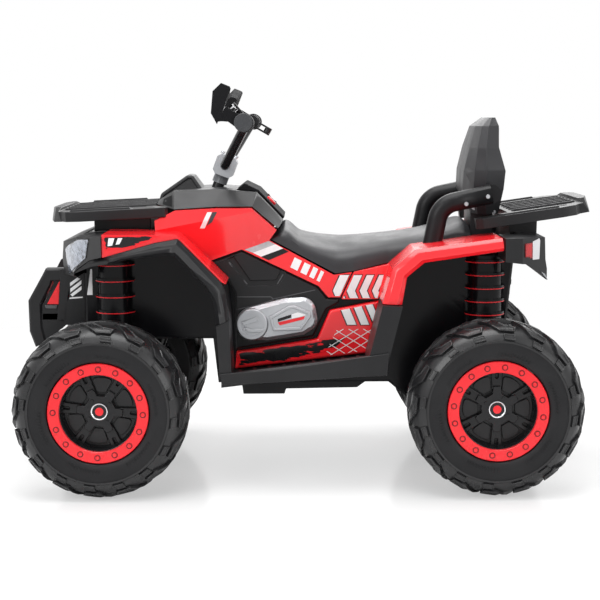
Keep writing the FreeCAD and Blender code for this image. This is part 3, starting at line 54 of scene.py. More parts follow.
def setInputs(node, values):
    for key, value in values.items():
        if isinstance(value, bpy.types.NodeSocket):
            node.id_data.links.new(value, node.inputs[key])
        elif isinstance(key, int) or key in node.inputs:
            node.inputs[key].default_value = value
        else:
            setattr(node, key, value)


def addNode(tree, kind, values):
    node = tree.nodes.new("ShaderNode" + kind)
    setInputs(node, values)
    return node.outputs


def newMaterial(name):
    mat = bpy.data.materials.new(name)
    mat.use_nodes = True
    return mat, mat.node_tree, mat.node_tree.nodes["Principled BSDF"]


def linked(name, data):
    holder = bpy.data.objects.new(name, data)
    scene.collection.objects.link(holder)
    return holder


def meshFrom(bm, name):
    mesh = bpy.data.meshes.new(name)
    bm.to_mesh(mesh)
    bm.free()
    return mesh


# camera and studio

camera = {
    "place": (-0.0103, -3.1963, 0.7687), "pitch": math.radians(7.217), "yaw": math.radians(0.095),
    "roll": math.radians(0.333), "lens": 87.44,
}
studio = {
    "floorRadius": 2.4, "floorSteps": 96, "floorFade": 0.9, "floorGlow": 0.45, "ambient": 0.5, "sensor": 36,
    "floor": {"Base Color": (0.97, 0.97, 0.97, 1), "Roughness": 0.16, "Specular IOR Level": 0.45},
    "backdrop": {"Color": (1, 1, 1, 1), "Strength": 1},
}
lamps = {
    "top": {"place": (-0.2, -0.3, 3.2), "aim": (0, 0, 0.4), "size": 2.6, "power": 104},
    "key": {"place": (-2.6, -3.0, 2.4), "aim": (0, 0, 0.35), "size": 1.8, "power": 62},
    "fill": {"place": (2.8, -2.6, 1.6), "aim": (0, 0, 0.35), "size": 1.8, "power": 34},
    "back": {"place": (0.6, 3.0, 2.4), "aim": (0, 0, 0.4), "size": 2.6, "power": 46},
}


def addCamera():
    data = bpy.data.cameras.new("camera")
    data.lens = camera["lens"]
    data.sensor_width = studio["sensor"]
    eye = linked("camera", data)
    turn = Matrix.Rotation(camera["yaw"], 4, "Z")
    tip = Matrix.Rotation(math.pi / 2 - camera["pitch"], 4, "X")
    roll = Matrix.Rotation(-camera["roll"], 4, "Z")
    eye.matrix_world = Matrix.Translation(camera["place"]) @ turn @ tip @ roll
    scene.camera = eye


def addLamp(name, spec):
    lamp = bpy.data.lights.new(name, "AREA")
    lamp.size = spec["size"]
    lamp.energy = spec["power"]
    turn = (Vector(spec["aim"]) - Vector(spec["place"])).to_track_quat("-Z", "Y").to_matrix().to_4x4()
    linked(name, lamp).matrix_world = Matrix.Translation(spec["place"]) @ turn


def addWorld():
    world = bpy.data.worlds.new("studio")
    world.use_nodes = True
    tree = world.node_tree
    path = addNode(tree, "LightPath", {})
    seen = path["Is Camera Ray"]
    for ray in ("Is Glossy Ray", "Is Transmission Ray"):
        seen = addNode(tree, "Math", {"operation": "MAXIMUM", 0: seen, 1: path[ray]})[0]
    plain = tree.nodes["Background"]
    setInputs(plain, {**studio["backdrop"], "Strength": studio["ambient"]})
    white = addNode(tree, "Background", studio["backdrop"])[0]
    mix = addNode(tree, "MixShader", {0: seen, 1: plain.outputs[0], 2: white})
    setInputs(tree.nodes["World Output"], {"Surface": mix[0]})
    scene.world = world


def addFloor():
    bm = bmesh.new()
    bmesh.ops.create_circle(bm, cap_ends=True, segments=studio["floorSteps"], radius=studio["floorRadius"])
    floor = linked("floor", meshFrom(bm, "floor"))
    mat, tree, shader = newMaterial("paleFloor")
    setInputs(shader, studio["floor"])
    spot = addNode(tree, "TexCoord", {})["Object"]
    away = addNode(tree, "VectorMath", {"operation": "LENGTH", 0: spot})["Value"]
    fade = addNode(tree, "MapRange", {
        "Value": away, "From Min": studio["floorFade"], "From Max": studio["floorRadius"]})[0]
    clear = addNode(tree, "BsdfTransparent", {})[0]
    thinned = addNode(tree, "MixShader", {0: fade, 1: shader.outputs[0], 2: clear})[0]
    direct = addNode(tree, "LightPath", {})["Is Camera Ray"]
    part = addNode(tree, "Math", {"operation": "MULTIPLY", 0: direct, 1: studio["floorGlow"]})[0]
    lit = addNode(tree, "MixShader", {0: part, 1: thinned, 2: addNode(tree, "Emission", {})[0]})
    setInputs(tree.nodes["Material Output"], {"Surface": lit[0]})
    floor.data.materials.append(mat)


scene.view_settings.view_transform = "Standard"
addCamera()
addWorld()
addFloor()
for lampName, lampSpec in lamps.items():
    addLamp(lampName, lampSpec)
print("studio ready")


# materials

noiseLook = {"cloud": 3, "smear": 4, "grain": 2, "specks": 6, "streak": (1, 1, 0.35), "from": 0.3, "to": 0.7}


def objectNoise(tree, size, detail, stretch=(1, 1, 1)):
    spot = addNode(tree, "TexCoord", {})["Object"]
    spot = addNode(tree, "Mapping", {"Vector": spot, "Scale": stretch})["Vector"]
    return addNode(tree, "TexNoise", {"Vector": spot, "Scale": 1 / size, "Detail": detail})["Fac"]


def spread(tree, source, low, high):
    return addNode(tree, "MapRange", {
        "Value": source, "From Min": noiseLook["from"], "From Max": noiseLook["to"], "To Min": low,
        "To Max": high})["Result"]


def tintMix(tree, source, first, second):
    return addNode(tree, "Mix", {"data_type": "RGBA", 0: source, 6: (*first, 1), 7: (*second, 1)})[2]


def plastic(name, row):
    colour, shade, rough, cloudSize, smearSize, grainSize, grain, specular = row
    mat, tree, shader = newMaterial(name)
    cloud = spread(tree, objectNoise(tree, cloudSize, noiseLook["cloud"]), 0, 1)
    smear = objectNoise(tree, smearSize, noiseLook["smear"], noiseLook["streak"])
    height = objectNoise(tree, grainSize, noiseLook["grain"])
    bump = addNode(tree, "Bump", {"Strength": grain, "Distance": grainSize, "Height": height})
    setInputs(shader, {
        "Base Color": tintMix(tree, cloud, colour, shade), "Roughness": spread(tree, smear, *rough),
        "Normal": bump["Normal"], "Specular IOR Level": specular, **lacquers.get(name, {})})
    return mat


def lens(name, spec):
    mat, tree, shader = newMaterial(name)
    haze = objectNoise(tree, spec["haze"], noiseLook["cloud"])
    setInputs(shader, {
        "Base Color": (*spec["colour"], 1), "Transmission Weight": spec["clear"], "IOR": spec["bend"],
        "Roughness": spread(tree, haze, *spec["rough"])})
    return mat


def speckledPrint(name, spec):
    mat, tree, shader = newMaterial(name)
    specks = objectNoise(tree, spec["size"], noiseLook["specks"], spec["stretch"])
    fade = addNode(tree, "Attribute", {"attribute_name": "fade"})["Fac"]
    total = addNode(tree, "Math", {"operation": "ADD", 0: specks, 1: fade})[0]
    edge = addNode(tree, "MapRange", {"Value": total, "From Min": spec["from"], "From Max": spec["to"]})[0]
    smear = objectNoise(tree, spec["smear"], noiseLook["cloud"])
    setInputs(shader, {
        "Base Color": tintMix(tree, edge, spec["ground"], spec["ink"]),
        "Roughness": spread(tree, smear, *spec["rough"]), "Specular IOR Level": spec["specular"]})
    return mat


# colour, its darker cloud, roughness range, sizes of cloud, smear and grain, grain depth, specular
finishes = {
    "satinBlack": ((0.011, 0.011, 0.012), (0.017, 0.017, 0.018), (0.3, 0.42), 0.16, 0.05, 0.0012, 0.1, 0.24),
    # deepBlack: a darker satin black with less specular, for the flares and armrests
    "deepBlack": ((0.006, 0.006, 0.007), (0.01, 0.01, 0.011), (0.3, 0.42), 0.16, 0.05, 0.0012, 0.1, 0.2),
    "dullBlack": ((0.007, 0.007, 0.008), (0.012, 0.012, 0.013), (0.6, 0.72), 0.1, 0.04, 0.001, 0.16, 0.08),
    # lampSilver: a metal reflector whose strong dark cloud gives its facets painted dark reflections
    "lampSilver": ((0.62, 0.64, 0.7), (0.16, 0.17, 0.2), (0.1, 0.2), 0.012, 0.01, 0.0006, 0.03, 0.5),
    "glossBlack": ((0.004, 0.004, 0.005), (0.006, 0.006, 0.007), (0.16, 0.26), 0.2, 0.06, 0.004, 0.02, 0.16),
    "grainedSeat": ((0.022, 0.022, 0.024), (0.03, 0.03, 0.033), (0.36, 0.48), 0.12, 0.04, 0.0016, 0.22, 0.32),
    "glossRed": ((0.93, 0.014, 0.022), (0.88, 0.011, 0.018), (0.2, 0.3), 0.22, 0.08, 0.006, 0.015, 0.4),
    "silverLacquer": ((0.47, 0.48, 0.5), (0.38, 0.39, 0.41), (0.26, 0.36), 0.1, 0.03, 0.0006, 0.06, 0.5),
    "zincSteel": ((0.55, 0.55, 0.57), (0.42, 0.42, 0.44), (0.26, 0.42), 0.04, 0.012, 0.0008, 0.08, 0.5),
    "blackSteel": ((0.008, 0.008, 0.009), (0.012, 0.012, 0.013), (0.2, 0.3), 0.1, 0.03, 0.002, 0.04, 0.35),
    "gripRubber": ((0.012, 0.012, 0.013), (0.018, 0.018, 0.019), (0.52, 0.64),
        0.05, 0.02, 0.0009, 0.25, 0.25),
    "tyreRubber": ((0.009, 0.009, 0.01), (0.014, 0.014, 0.015), (0.44, 0.56), 0.09, 0.03, 0.0014, 0.14, 0.22),
    "treadRubber": ((0.01, 0.01, 0.011), (0.016, 0.016, 0.017), (0.24, 0.36), 0.07, 0.02, 0.0016, 0.1, 0.42),
    "rimBlack": ((0.007, 0.007, 0.008), (0.011, 0.011, 0.012), (0.18, 0.28), 0.08, 0.03, 0.001, 0.05, 0.3),
    "rimPad": ((0.014, 0.014, 0.015), (0.019, 0.019, 0.02), (0.34, 0.44), 0.06, 0.02, 0.0008, 0.14, 0.3),
    "ringRed": ((0.84, 0.018, 0.026), (0.78, 0.015, 0.022), (0.24, 0.34), 0.12, 0.04, 0.003, 0.03, 0.45),
    # paintedShadeRed: a darker red for the discs under the ring bolts, painted shade round each bolt
    "paintedShadeRed": ((0.17, 0.004, 0.007), (0.13, 0.003, 0.005), (0.36, 0.46), 0.05, 0.02, 0.002, 0.04, 0.4),
    "polished": ((0.78, 0.78, 0.8), (0.7, 0.7, 0.72), (0.12, 0.22), 0.03, 0.01, 0.0006, 0.03, 0.5),
    # highlightAndStripGrey: the light lines on the side cover, which are painted highlights, and the grey
    # strip on the nose
    "highlightAndStripGrey": ((0.085, 0.085, 0.09), (0.06, 0.06, 0.064), (0.26, 0.36), 0.04, 0.02, 0.002, 0.04, 0.4),
    "printWhite": ((0.9, 0.9, 0.91), (0.84, 0.84, 0.85), (0.22, 0.32), 0.03, 0.02, 0.003, 0.02, 0.4),
    "printSilver": ((0.5, 0.51, 0.53), (0.42, 0.43, 0.45), (0.24, 0.34), 0.02, 0.01, 0.001, 0.04, 0.45),
    "printGrey": ((0.052, 0.054, 0.058), (0.04, 0.042, 0.046), (0.24, 0.34), 0.02, 0.01, 0.002, 0.03, 0.35),
    "printBlack": ((0.006, 0.006, 0.007), (0.01, 0.01, 0.011), (0.22, 0.32), 0.03, 0.02, 0.003, 0.02, 0.3),
}
lacquers = {
    "lampSilver": {"Metallic": 1}, "glossRed": {"Coat Weight": 0.5, "Coat Roughness": 0.05},
    "silverLacquer": {"Metallic": 0.6}, "zincSteel": {"Metallic": 1}, "polished": {"Metallic": 1},
}
lenses = {
    "clearLens": {"colour": (0.95, 0.97, 1), "clear": 1, "bend": 1.49, "haze": 0.02, "rough": (0.02, 0.06)},
    "redLens": {"colour": (0.8, 0.012, 0.02), "clear": 0.7, "bend": 1.49, "haze": 0.02,
        "rough": (0.05, 0.12)},
}
speckles = {
    "ground": (0.93, 0.014, 0.022), "ink": (0.006, 0.006, 0.007), "size": 0.011, "stretch": (0.35, 1, 1.5),
    "from": 0.63, "to": 0.66, "rough": (0.22, 0.32), "smear": 0.03, "specular": 0.35,
}
mats = {name: plastic(name, row) for name, row in finishes.items()}
mats.update({name: lens(name, spec) for name, spec in lenses.items()})
mats["speckled"] = speckledPrint("speckled", speckles)
print("materials ready:", len(mats))


# pieces from the frame's own solids

joining = {
    "weld": 2e-05, "axisWeld": 0.0001, "flat": math.radians(0.6), "sharp": math.radians(26),
    "smooth": math.radians(38), "stray": 0.6,
    "keepCuts": ("side_cover", "tank_panel", "chassis_tub", "bar_clamp", "front_bumper"),
}


def allOf(bm):
    return bm.verts[:] + bm.edges[:] + bm.faces[:]


def outward(bm):
    bmesh.ops.recalc_face_normals(bm, faces=bm.faces[:])


def lift(bm, face, move):
    made = bmesh.ops.extrude_face_region(bm, geom=[face])["geom"]
    bmesh.ops.translate(bm, verts=[item for item in made if isinstance(item, bmesh.types.BMVert)], vec=move)
    return next(item for item in made if isinstance(item, bmesh.types.BMFace))


def inset(bm, faces, width, depth=0):
    bmesh.ops.inset_region(bm, faces=faces, thickness=width, depth=depth, use_even_offset=True)


def addCone(bm, spec, matrix):
    cone = bmesh.ops.create_cone(bm, cap_ends=True, segments=spec["steps"], radius1=spec["base"],
                                 radius2=spec["face"], depth=spec["depth"], matrix=matrix)
    return cone["verts"]


def bevel(bm, edges, width, segments):
    bmesh.ops.bevel(bm, geom=edges, offset=width, offset_type="OFFSET", segments=segments, profile=0.5,
                    affect="EDGES", clamp_overlap=True, material=-1)


def bridge(bm, near, far):
    for index in range(len(near)):
        after = (index + 1) % len(near)
        bm.faces.new((near[index], near[after], far[after], far[index]))


def spinChain(bm, chain, closed, centre, axis, steps):
    edges = [bm.edges.new(pair) for pair in zip(chain, chain[1:])]
    if closed:
        edges.append(bm.edges.new((chain[-1], chain[0])))
    bmesh.ops.spin(bm, geom=chain + edges, cent=centre, axis=axis, angle=2 * math.pi, steps=steps,
                   use_merge=True)


def pourInto(target, bm):
    mesh = meshFrom(bm, "pour")
    target.from_mesh(mesh)
    bpy.data.meshes.remove(mesh)


def addMirror(bm):
    bmesh.ops.mirror(bm, geom=allOf(bm), axis="Y", merge_dist=0)


def toMetres(bm, mirrored=True):
    if mirrored:
        addMirror(bm)
    outward(bm)
    bmesh.ops.scale(bm, vec=(0.001, 0.001, 0.001), verts=bm.verts[:])


def mergedCopy(name, keepCuts=False):
    bm = bmesh.new()
    bm.from_mesh(nodes[name].data)
    bmesh.ops.remove_doubles(bm, verts=bm.verts[:], dist=joining["weld"])
    if not keepCuts:
        bmesh.ops.dissolve_limit(bm, angle_limit=joining["flat"], verts=bm.verts[:], edges=bm.edges[:])
    return bm


def roundEdges(bm, width):
    solid = BVHTree.FromBMesh(bm)
    edges = []
    for edge in bm.edges:
        if edge.is_manifold and edge.calc_face_angle(0) > joining["sharp"] and edge.calc_length() > 2 * width:
            edges.append(edge)
    bevel(bm, edges, width, 2)
    # a corner thrown clear of the solid goes back to it
    for vert in bm.verts:
        near, normal, index, gap = solid.find_nearest(vert.co)
        if gap > width * joining["stray"]:
            vert.co = near


def finishPiece(bm, name, mat, node, stands=(), smooth=True):
    body, slot = bodyOf[node], slotOf[node]
    mesh = meshFrom(bm, name)
    for face in mesh.polygons:
        face.use_smooth = smooth
    mesh.set_sharp_from_angle(angle=joining["smooth"])
    piece = linked(name, mesh)
    mesh.materials.append(mats[mat])
    weigh = piece.modifiers.new("evenNormals", "WEIGHTED_NORMAL")
    weigh.keep_sharp = True
    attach(piece, body)
    if stands:
        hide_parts(*stands)
    return piece


rackLook = {
    "front_rack": {"foot": (-0.54, 0.556), "tilt": math.radians(2.6)},
    "rear_rack": {"foot": (0.352, 0.538), "tilt": math.radians(8)}, "deck": 0.015, "near": 0.002,
    "lipShare": 0.45, "lipWidth": 0.7, "edgeDrop": 0.006,
}
flareLook = {"ahead": -0.46, "reach": 0.203}


def reshapeRack(bm, spec):
    # heights are counted square to the tilted deck
    footX, footZ = spec["foot"]
    up = Vector((-math.sin(spec["tilt"]), 0, math.cos(spec["tilt"])))
    for vert in bm.verts:
        rise = (vert.co - Vector((footX, 0, footZ))).dot(up)
        above = rise - rackLook["deck"]
        if above > rackLook["near"]:
            vert.co -= up * above * (1 - rackLook["lipShare"])
            vert.co.y *= rackLook["lipWidth"]
        elif abs(rise) < rackLook["near"]:
            vert.co -= up * rackLook["edgeDrop"]


def tuckFlare(bm):
    # the thin tip follows the corner of the fascia
    for vert in bm.verts:
        if vert.co.x < flareLook["ahead"]:
            vert.co.y = math.copysign(min(abs(vert.co.y), flareLook["reach"]), vert.co.y)


# wheels, modelled about their own axis with +Y as the outer side, in millimetres

wheels = {
    "front": -420, "rear": 380, "track": 280, "height": 180, "steps": 144, "turns": {"front": 25, "rear": 0},
}
tyreLook = {
    "sidewall": [(103.3, 45.2), (103.3, 57.4), (104.6, 59.6), (108, 62.2), (113, 64), (120, 65.4),
        (131, 66.3), (138.6, 66.4), (140.4, 66.8), (141.4, 68.3), (143.6, 68.6), (145, 67.2)],
    "crown": [(173.6, 0), (173.2, 18), (171.4, 34), (167.4, 46.5), (161, 56), (153.4, 62.6), (145, 67.2)],
    "rib": [(172, -7), (178, -6), (178.8, -5), (178.8, -1.4), (177.2, -0.9), (177.2, 0.9), (178.8, 1.4),
        (178.8, 5), (178, 6), (172, 7)],
    "lugs": 16, "wrap": 168, "root": -2.5, "lap": 4,
    "bar": {"outline": [(-36, 11), (-12, 11), (3, 33), (13, 43), (34, 47), (30, 59.5), (0, 59.5), (-14, 46),
        (-24, 30)], "cuts": [17, 23, 29, 34.1, 40, 47, 53, 58.5], "height": 6, "frame": 2.8, "sink": 2.0,
        "edge": 0.9},
    "block": {"outline": [(8, 64), (33, 64), (35, 76.5), (10, 76.5)], "cuts": [68.6, 72], "height": 3.4,
        "frame": 2.2, "sink": 1.6, "edge": 0.7},
    "ticks": {"groups": 6, "perGroup": 11, "gap": 3.1, "size": (1.3, 1.2, 15), "radius": 121, "face": 65.3,
        "lean": 5.5},
    "draft": 0.6, "inside": 1e-06,
}
rimLook = {
    "profile": [(7, 20), (73, 20), (74, 21.5), (74.4, 28), (77.6, 50.8), (79.5, 52), (100.4, 52),
        (101.5, 50.8), (101.5, 46), (100, 46), (100, -49), (98.8, -50), (95.2, -50), (94, -48.8), (94, 16),
        (24, 16), (24, -47), (23, -48), (7, -48)],
    "arms": 6, "floor": 20,
    "spoke": {"outline": [(-8.6, 30), (-10.4, 58), (-12, 75), (-2.9, 75.6), (-2.9, 63.4), (-1.7, 61.8),
        (1.7, 61.8), (2.9, 63.4), (2.9, 75.6), (12, 75), (10.4, 58), (8.6, 30)], "top": 28.5, "edge": 1.8},
    "star": {"tip": (6.6, 46.5), "shoulder": (8.8, 39.5), "valley": (8, 31), "top": 34.5, "edge": 1.6},
    "pad": {"outline": [(-9.4, 37), (-19, 59.5), (-17.4, 64.6), (-9, 67.6), (0, 68.4), (9, 67.6),
        (17.4, 64.6), (19, 59.5), (9.4, 37)], "top": 24.5, "edge": 1.4},
    "bolts": {"count": 4, "circle": 25.5, "base": 4.4, "face": 3.2, "middle": 34, "depth": 6, "steps": 20,
        "lead": math.radians(30)},
    "cap": [(0, 38.6), (14.2, 38.6)],
    "capRing": [(14.2, 37.6), (14.4, 39.6), (15.2, 40.2), (16.8, 40), (17.6, 38.8), (17.6, 33)],
    "capDot": [(0, 39.6), (7.6, 39.4), (8.4, 38.8), (8.4, 38)],
}
ringLook = {
    "profile": [(78.5, 52), (78.5, 58.8), (79.6, 60), (100.3, 60), (101.5, 58.8), (101.5, 52)],
    "bolts": {"count": 16, "circle": 90, "base": 4.3, "face": 3.7, "middle": 61.2, "depth": 3.2, "steps": 24,
        # seat is the radius of the darker disc under each bolt, painted shade; shadeFace and shadeDepth place
        # and thicken that disc
        "round": 0.8, "brim": 62.7, "seat": 6.4, "shadeFace": 60.2, "shadeDepth": 0.4,
        "lead": {"front": math.radians(1.7), "rear": math.radians(7.5)}},
}


def crownRows():
    points = [Vector(point) for point in tyreLook["crown"]]
    rows = []
    run = 0
    for index, point in enumerate(points):
        before = points[max(index - 1, 0)]
        after = points[min(index + 1, len(points) - 1)]
        run += (point - before).length
        along = (after - before).normalized()
        rows.append((run, point, Vector((along.y, -along.x))))
    return rows


def wrapLug(bm, rows):
    # x runs round the tyre, y out from the crown and z up from the tread
    for vert in bm.verts:
        away = min(max(vert.co.y, 0), rows[-1][0] - tyreLook["inside"])
        for (runA, pointA, upA), (runB, pointB, upB) in zip(rows, rows[1:]):
            if runA <= away < runB:
                share = (away - runA) / (runB - runA)
                spot = pointA.lerp(pointB, share) + upA.lerp(upB, share).normalized() * vert.co.z
        angle = vert.co.x / tyreLook["wrap"]
        vert.co = (spot.x * math.sin(angle), spot.y, spot.x * math.cos(angle))


def addLug(target, spec, rows):
    bm = bmesh.new()
    bm.faces.new([bm.verts.new((x, y, 0)) for x, y in spec["outline"]])
    outward(bm)
    if bm.faces[:][0].normal.z < 0:
        bmesh.ops.reverse_faces(bm, faces=bm.faces[:])
    roots = bm.verts[:]
    top = lift(bm, bm.faces[:][0], (0, 0, spec["height"]))
    bmesh.ops.translate(bm, verts=roots, vec=(0, 0, tyreLook["root"]))
    lip = list(top.edges)
    inset(bm, [top], spec["frame"])
    lip += list(top.edges)
    inset(bm, [top], spec["sink"] * tyreLook["draft"], -spec["sink"])
    bevel(bm, lip, spec["edge"], 2)
    for cut in spec["cuts"]:
        bmesh.ops.bisect_plane(bm, geom=allOf(bm), plane_co=(0, cut, 0), plane_no=(0, 1, 0))
    wrapLug(bm, rows)
    bmesh.ops.spin(bm, geom=allOf(bm), cent=(0, 0, 0), axis=(0, 1, 0), steps=tyreLook["lugs"] - 1,
                   angle=2 * math.pi * (1 - 1 / tyreLook["lugs"]), use_duplicate=True)
    pourInto(target, bm)


def spinBand(bm, profile, closed=True):
    chain = [bm.verts.new((0, y, r)) for r, y in profile]
    spinChain(bm, chain, closed, (0, 0, 0), (0, 1, 0), wheels["steps"])


def addTicks(bm):
    spec = tyreLook["ticks"]
    for group in range(spec["groups"]):
        for tick in range(spec["perGroup"]):
            turn = 2 * math.pi * group / spec["groups"] + math.radians(spec["gap"]) * tick
            spot = Matrix.Rotation(turn, 4, "Y") @ Matrix.Translation((0, spec["face"], spec["radius"]))
            lean = Matrix.Rotation(math.radians(spec["lean"]), 4, "X")
            bmesh.ops.create_cube(bm, size=1, matrix=spot @ lean @ Matrix.Diagonal((*spec["size"], 1)))


def buildTread():
    bm = bmesh.new()
    rows = crownRows()
    pitch = 2 * math.pi / tyreLook["lugs"]
    for spec in (tyreLook["bar"], tyreLook["block"]):
        addLug(bm, spec, rows)
    addMirror(bm)
    inner = [vert for vert in bm.verts if vert.co.y < 0]
    bmesh.ops.rotate(bm, verts=inner, cent=(0, 0, 0), matrix=Matrix.Rotation(pitch / 2, 3, "Y"))
    half = tyreLook["sidewall"][-2:] + tyreLook["crown"][-2:0:-1]
    inside = [(r - tyreLook["lap"], y) for r, y in half[::-1]]
    half += [(r, -y) for r, y in half[::-1]]
    inside = [(r, -y) for r, y in inside[::-1]] + inside
    spinBand(bm, half + inside)
    spinBand(bm, tyreLook["rib"])
    return bm


def buildSidewalls():
    bm = bmesh.new()
    addTicks(bm)
    wall = tyreLook["sidewall"]
    (topR, topY), (lipR, lipY) = wall[-1], wall[0]
    spinBand(bm, wall + [(topR, topY - tyreLook["lap"]), (lipR + tyreLook["lap"], lipY)])
    addMirror(bm)
    return bm


def turned(outline, turn):
    spin = Matrix.Rotation(turn, 2)
    return [tuple(spin @ Vector(point)) for point in outline]


def addPlate(bm, outline, spec):
    top = spec["top"]
    face = bm.faces.new([bm.verts.new((x, top, z)) for x, z in outline])
    foot = lift(bm, face, (0, rimLook["floor"] - top, 0))
    bmesh.ops.delete(bm, geom=[foot], context="FACES_ONLY")
    bevel(bm, list(face.edges), spec["edge"], 3)


def around(count, lead):
    return [lead + index * 2 * math.pi / count for index in range(count)]


def starOutline(turn):
    spec = rimLook["star"]
    points = []
    half = [spec["shoulder"], spec["tip"]]
    arch = [(-x, z) for x, z in half] + half[::-1]
    reach, depth = spec["valley"]
    for back in around(rimLook["arms"], -turn):
        points += turned(arch, -back)
        points += turned([(-reach, depth), (reach, depth)], -back - math.pi / rimLook["arms"])
    return points


def onCircle(turn, depth, radius):
    spot = Matrix.Rotation(turn, 4, "Y") @ Matrix.Translation((0, depth, radius))
    return spot @ Matrix.Rotation(-math.pi / 2, 4, "X")


def buildRim(turn):
    bm = bmesh.new()
    spinBand(bm, rimLook["profile"])
    for armTurn in around(rimLook["arms"], turn):
        addPlate(bm, turned(rimLook["spoke"]["outline"], armTurn), rimLook["spoke"])
    addPlate(bm, starOutline(turn), rimLook["star"])
    bolts = rimLook["bolts"]
    for boltTurn in around(bolts["count"], turn + bolts["lead"]):
        addCone(bm, bolts, onCircle(boltTurn, bolts["middle"], bolts["circle"]))
    return bm


def buildPads(turn):
    bm = bmesh.new()
    for armTurn in around(rimLook["arms"], turn + math.pi / rimLook["arms"]):
        addPlate(bm, turned(rimLook["pad"]["outline"], armTurn), rimLook["pad"])
    return bm


def buildBeadRing(end):
    bm = bmesh.new()
    spinBand(bm, ringLook["profile"])
    bolts = ringLook["bolts"]
    for turn in around(bolts["count"], bolts["lead"][end]):
        head = addCone(bm, bolts, onCircle(turn, bolts["middle"], bolts["circle"]))
        brim = {edge for vert in head for edge in vert.link_edges
                if min(tip.co.y for tip in edge.verts) > bolts["brim"]}
        bevel(bm, list(brim), bolts["round"], 2)
    return bm


# a darker red disc under each ring bolt: painted shade round the bolt, standing in for a recess
def buildBoltShadeDiscs(end):
    bm = bmesh.new()
    bolts = ringLook["bolts"]
    for turn in around(bolts["count"], bolts["lead"][end]):
        bmesh.ops.create_circle(bm, cap_ends=True, segments=bolts["steps"], radius=bolts["seat"],
                                matrix=onCircle(turn, bolts["shadeFace"], bolts["circle"]))
    bmesh.ops.solidify(bm, geom=bm.faces[:], thickness=bolts["shadeDepth"])
    return bm


def buildSpun(name):
    bm = bmesh.new()
    spinBand(bm, rimLook[name], False)
    bmesh.ops.remove_doubles(bm, verts=bm.verts[:], dist=joining["axisWeld"])
    return bm


def hangOnAxle(bm, end, side):
    outward(bm)
    bmesh.ops.scale(bm, vec=(0.001, 0.001 * sides[side], 0.001), verts=bm.verts[:])
    if sides[side] < 0:
        bmesh.ops.reverse_faces(bm, faces=bm.faces[:])
    place = Vector((wheels[end], wheels["track"] * sides[side], wheels["height"])) / 1000
    bmesh.ops.translate(bm, verts=bm.verts[:], vec=place)
    return bm


def addWheel(end, side):
    turn = math.radians(wheels["turns"][end])
    table = [
        ("Tread", "treadRubber", "tyre", True, buildTread()),
        ("Sidewalls", "tyreRubber", "tyre", False, buildSidewalls()),
        ("Rim", "rimBlack", "rim", True, buildRim(turn)),
        ("RimPads", "rimPad", "rim", False, buildPads(turn)),
        ("BeadRing", "ringRed", "bead_ring", True, buildBeadRing(end)),
        # BoltShadeDiscs: the darker discs of painted shade round the ring bolts
        ("BoltShadeDiscs", "paintedShadeRed", "bead_ring", False, buildBoltShadeDiscs(end)),
        ("Cap", "rimBlack", "rim", False, buildSpun("cap")),
        ("Capring", "polished", "rim", False, buildSpun("capRing")),
        ("Capdot", "ringRed", "rim", False, buildSpun("capDot")),
    ]
    for name, mat, kind, stands, bm in table:
        node = "_".join((end, kind, side))
        hangOnAxle(bm, end, side)
        finishPiece(bm, end + name + "_" + side, mat, node, [node] if stands else [])


for end in ("front", "rear"):
    for side in sides:
        addWheel(end, side)
print("wheels ready")


# finish and edge radius, by slot or by node

slotLooks = {
    "black_plastic": ("satinBlack", 0.0025), "red_plastic": ("glossRed", 0.0025),
    "silver_plastic": ("silverLacquer", 0.002), "battery_case": ("satinBlack", 0.001),
    "gear_case": ("satinBlack", 0.0015), "axle_steel": ("zincSteel", 0.001),
    "black_steel": ("blackSteel", 0.001), "grip_rubber": ("gripRubber", 0.0003),
    "lever_metal": ("polished", 0.0015), "control_black": ("satinBlack", 0.001),
    "button_red": ("glossRed", 0),
}
nodeLooks = {
    "chassis_tub": ("glossBlack", 0.0025), "dash_panel": ("dullBlack", 0.002),
    "hand_guard": ("dullBlack", 0.005), "front_flare": ("deepBlack", 0.004),
    "backrest": ("grainedSeat", 0.007), "armrest": ("deepBlack", 0.003),
    "front_fascia": ("satinBlack", 0.002), "front_grille": ("glossRed", 0.002),
}
ownShapes = {"headlight_lenses", "tail_lamps", "seat"}


def dressNode(node):
    kind = node.removesuffix("_left").removesuffix("_right")
    mat, width = nodeLooks.get(kind) or slotLooks[slotOf[node]]
    bm = mergedCopy(node, kind in joining["keepCuts"])
    if node in rackLook:
        reshapeRack(bm, rackLook[node])
    if kind == "front_flare":
        tuckFlare(bm)
    if width:
        roundEdges(bm, width)
    return finishPiece(bm, node + ".skin", mat, node, [node])


skins = {node: dressNode(node) for node in sorted(set(nodes) - ownShapes) if "_wheel_" not in bodyOf[node]}
print("skins ready:", len(skins))


# headlights and tail lamps: a thin clear shell over a faceted bright reflector

lampLook = {
    "headlight_lenses": {"mat": "clearLens", "shell": 0.95, "bowl": 0.86, "relief": 0.0016},
    "tail_lamps": {"mat": "redLens", "shell": 0.93, "bowl": 0.8, "relief": 0.0012},
}
facetLook = {"cuts": 3, "mat": "polished"}


def shrunkLamp(node, share):
    # each side's lamp shrinks about its own middle
    bm = mergedCopy(node)
    for sign in sides.values():
        verts = [vert for vert in bm.verts if vert.co.y * sign > 0]
        centre = sum((vert.co for vert in verts), Vector()) / len(verts)
        for vert in verts:
            vert.co = centre + (vert.co - centre) * share
    return bm


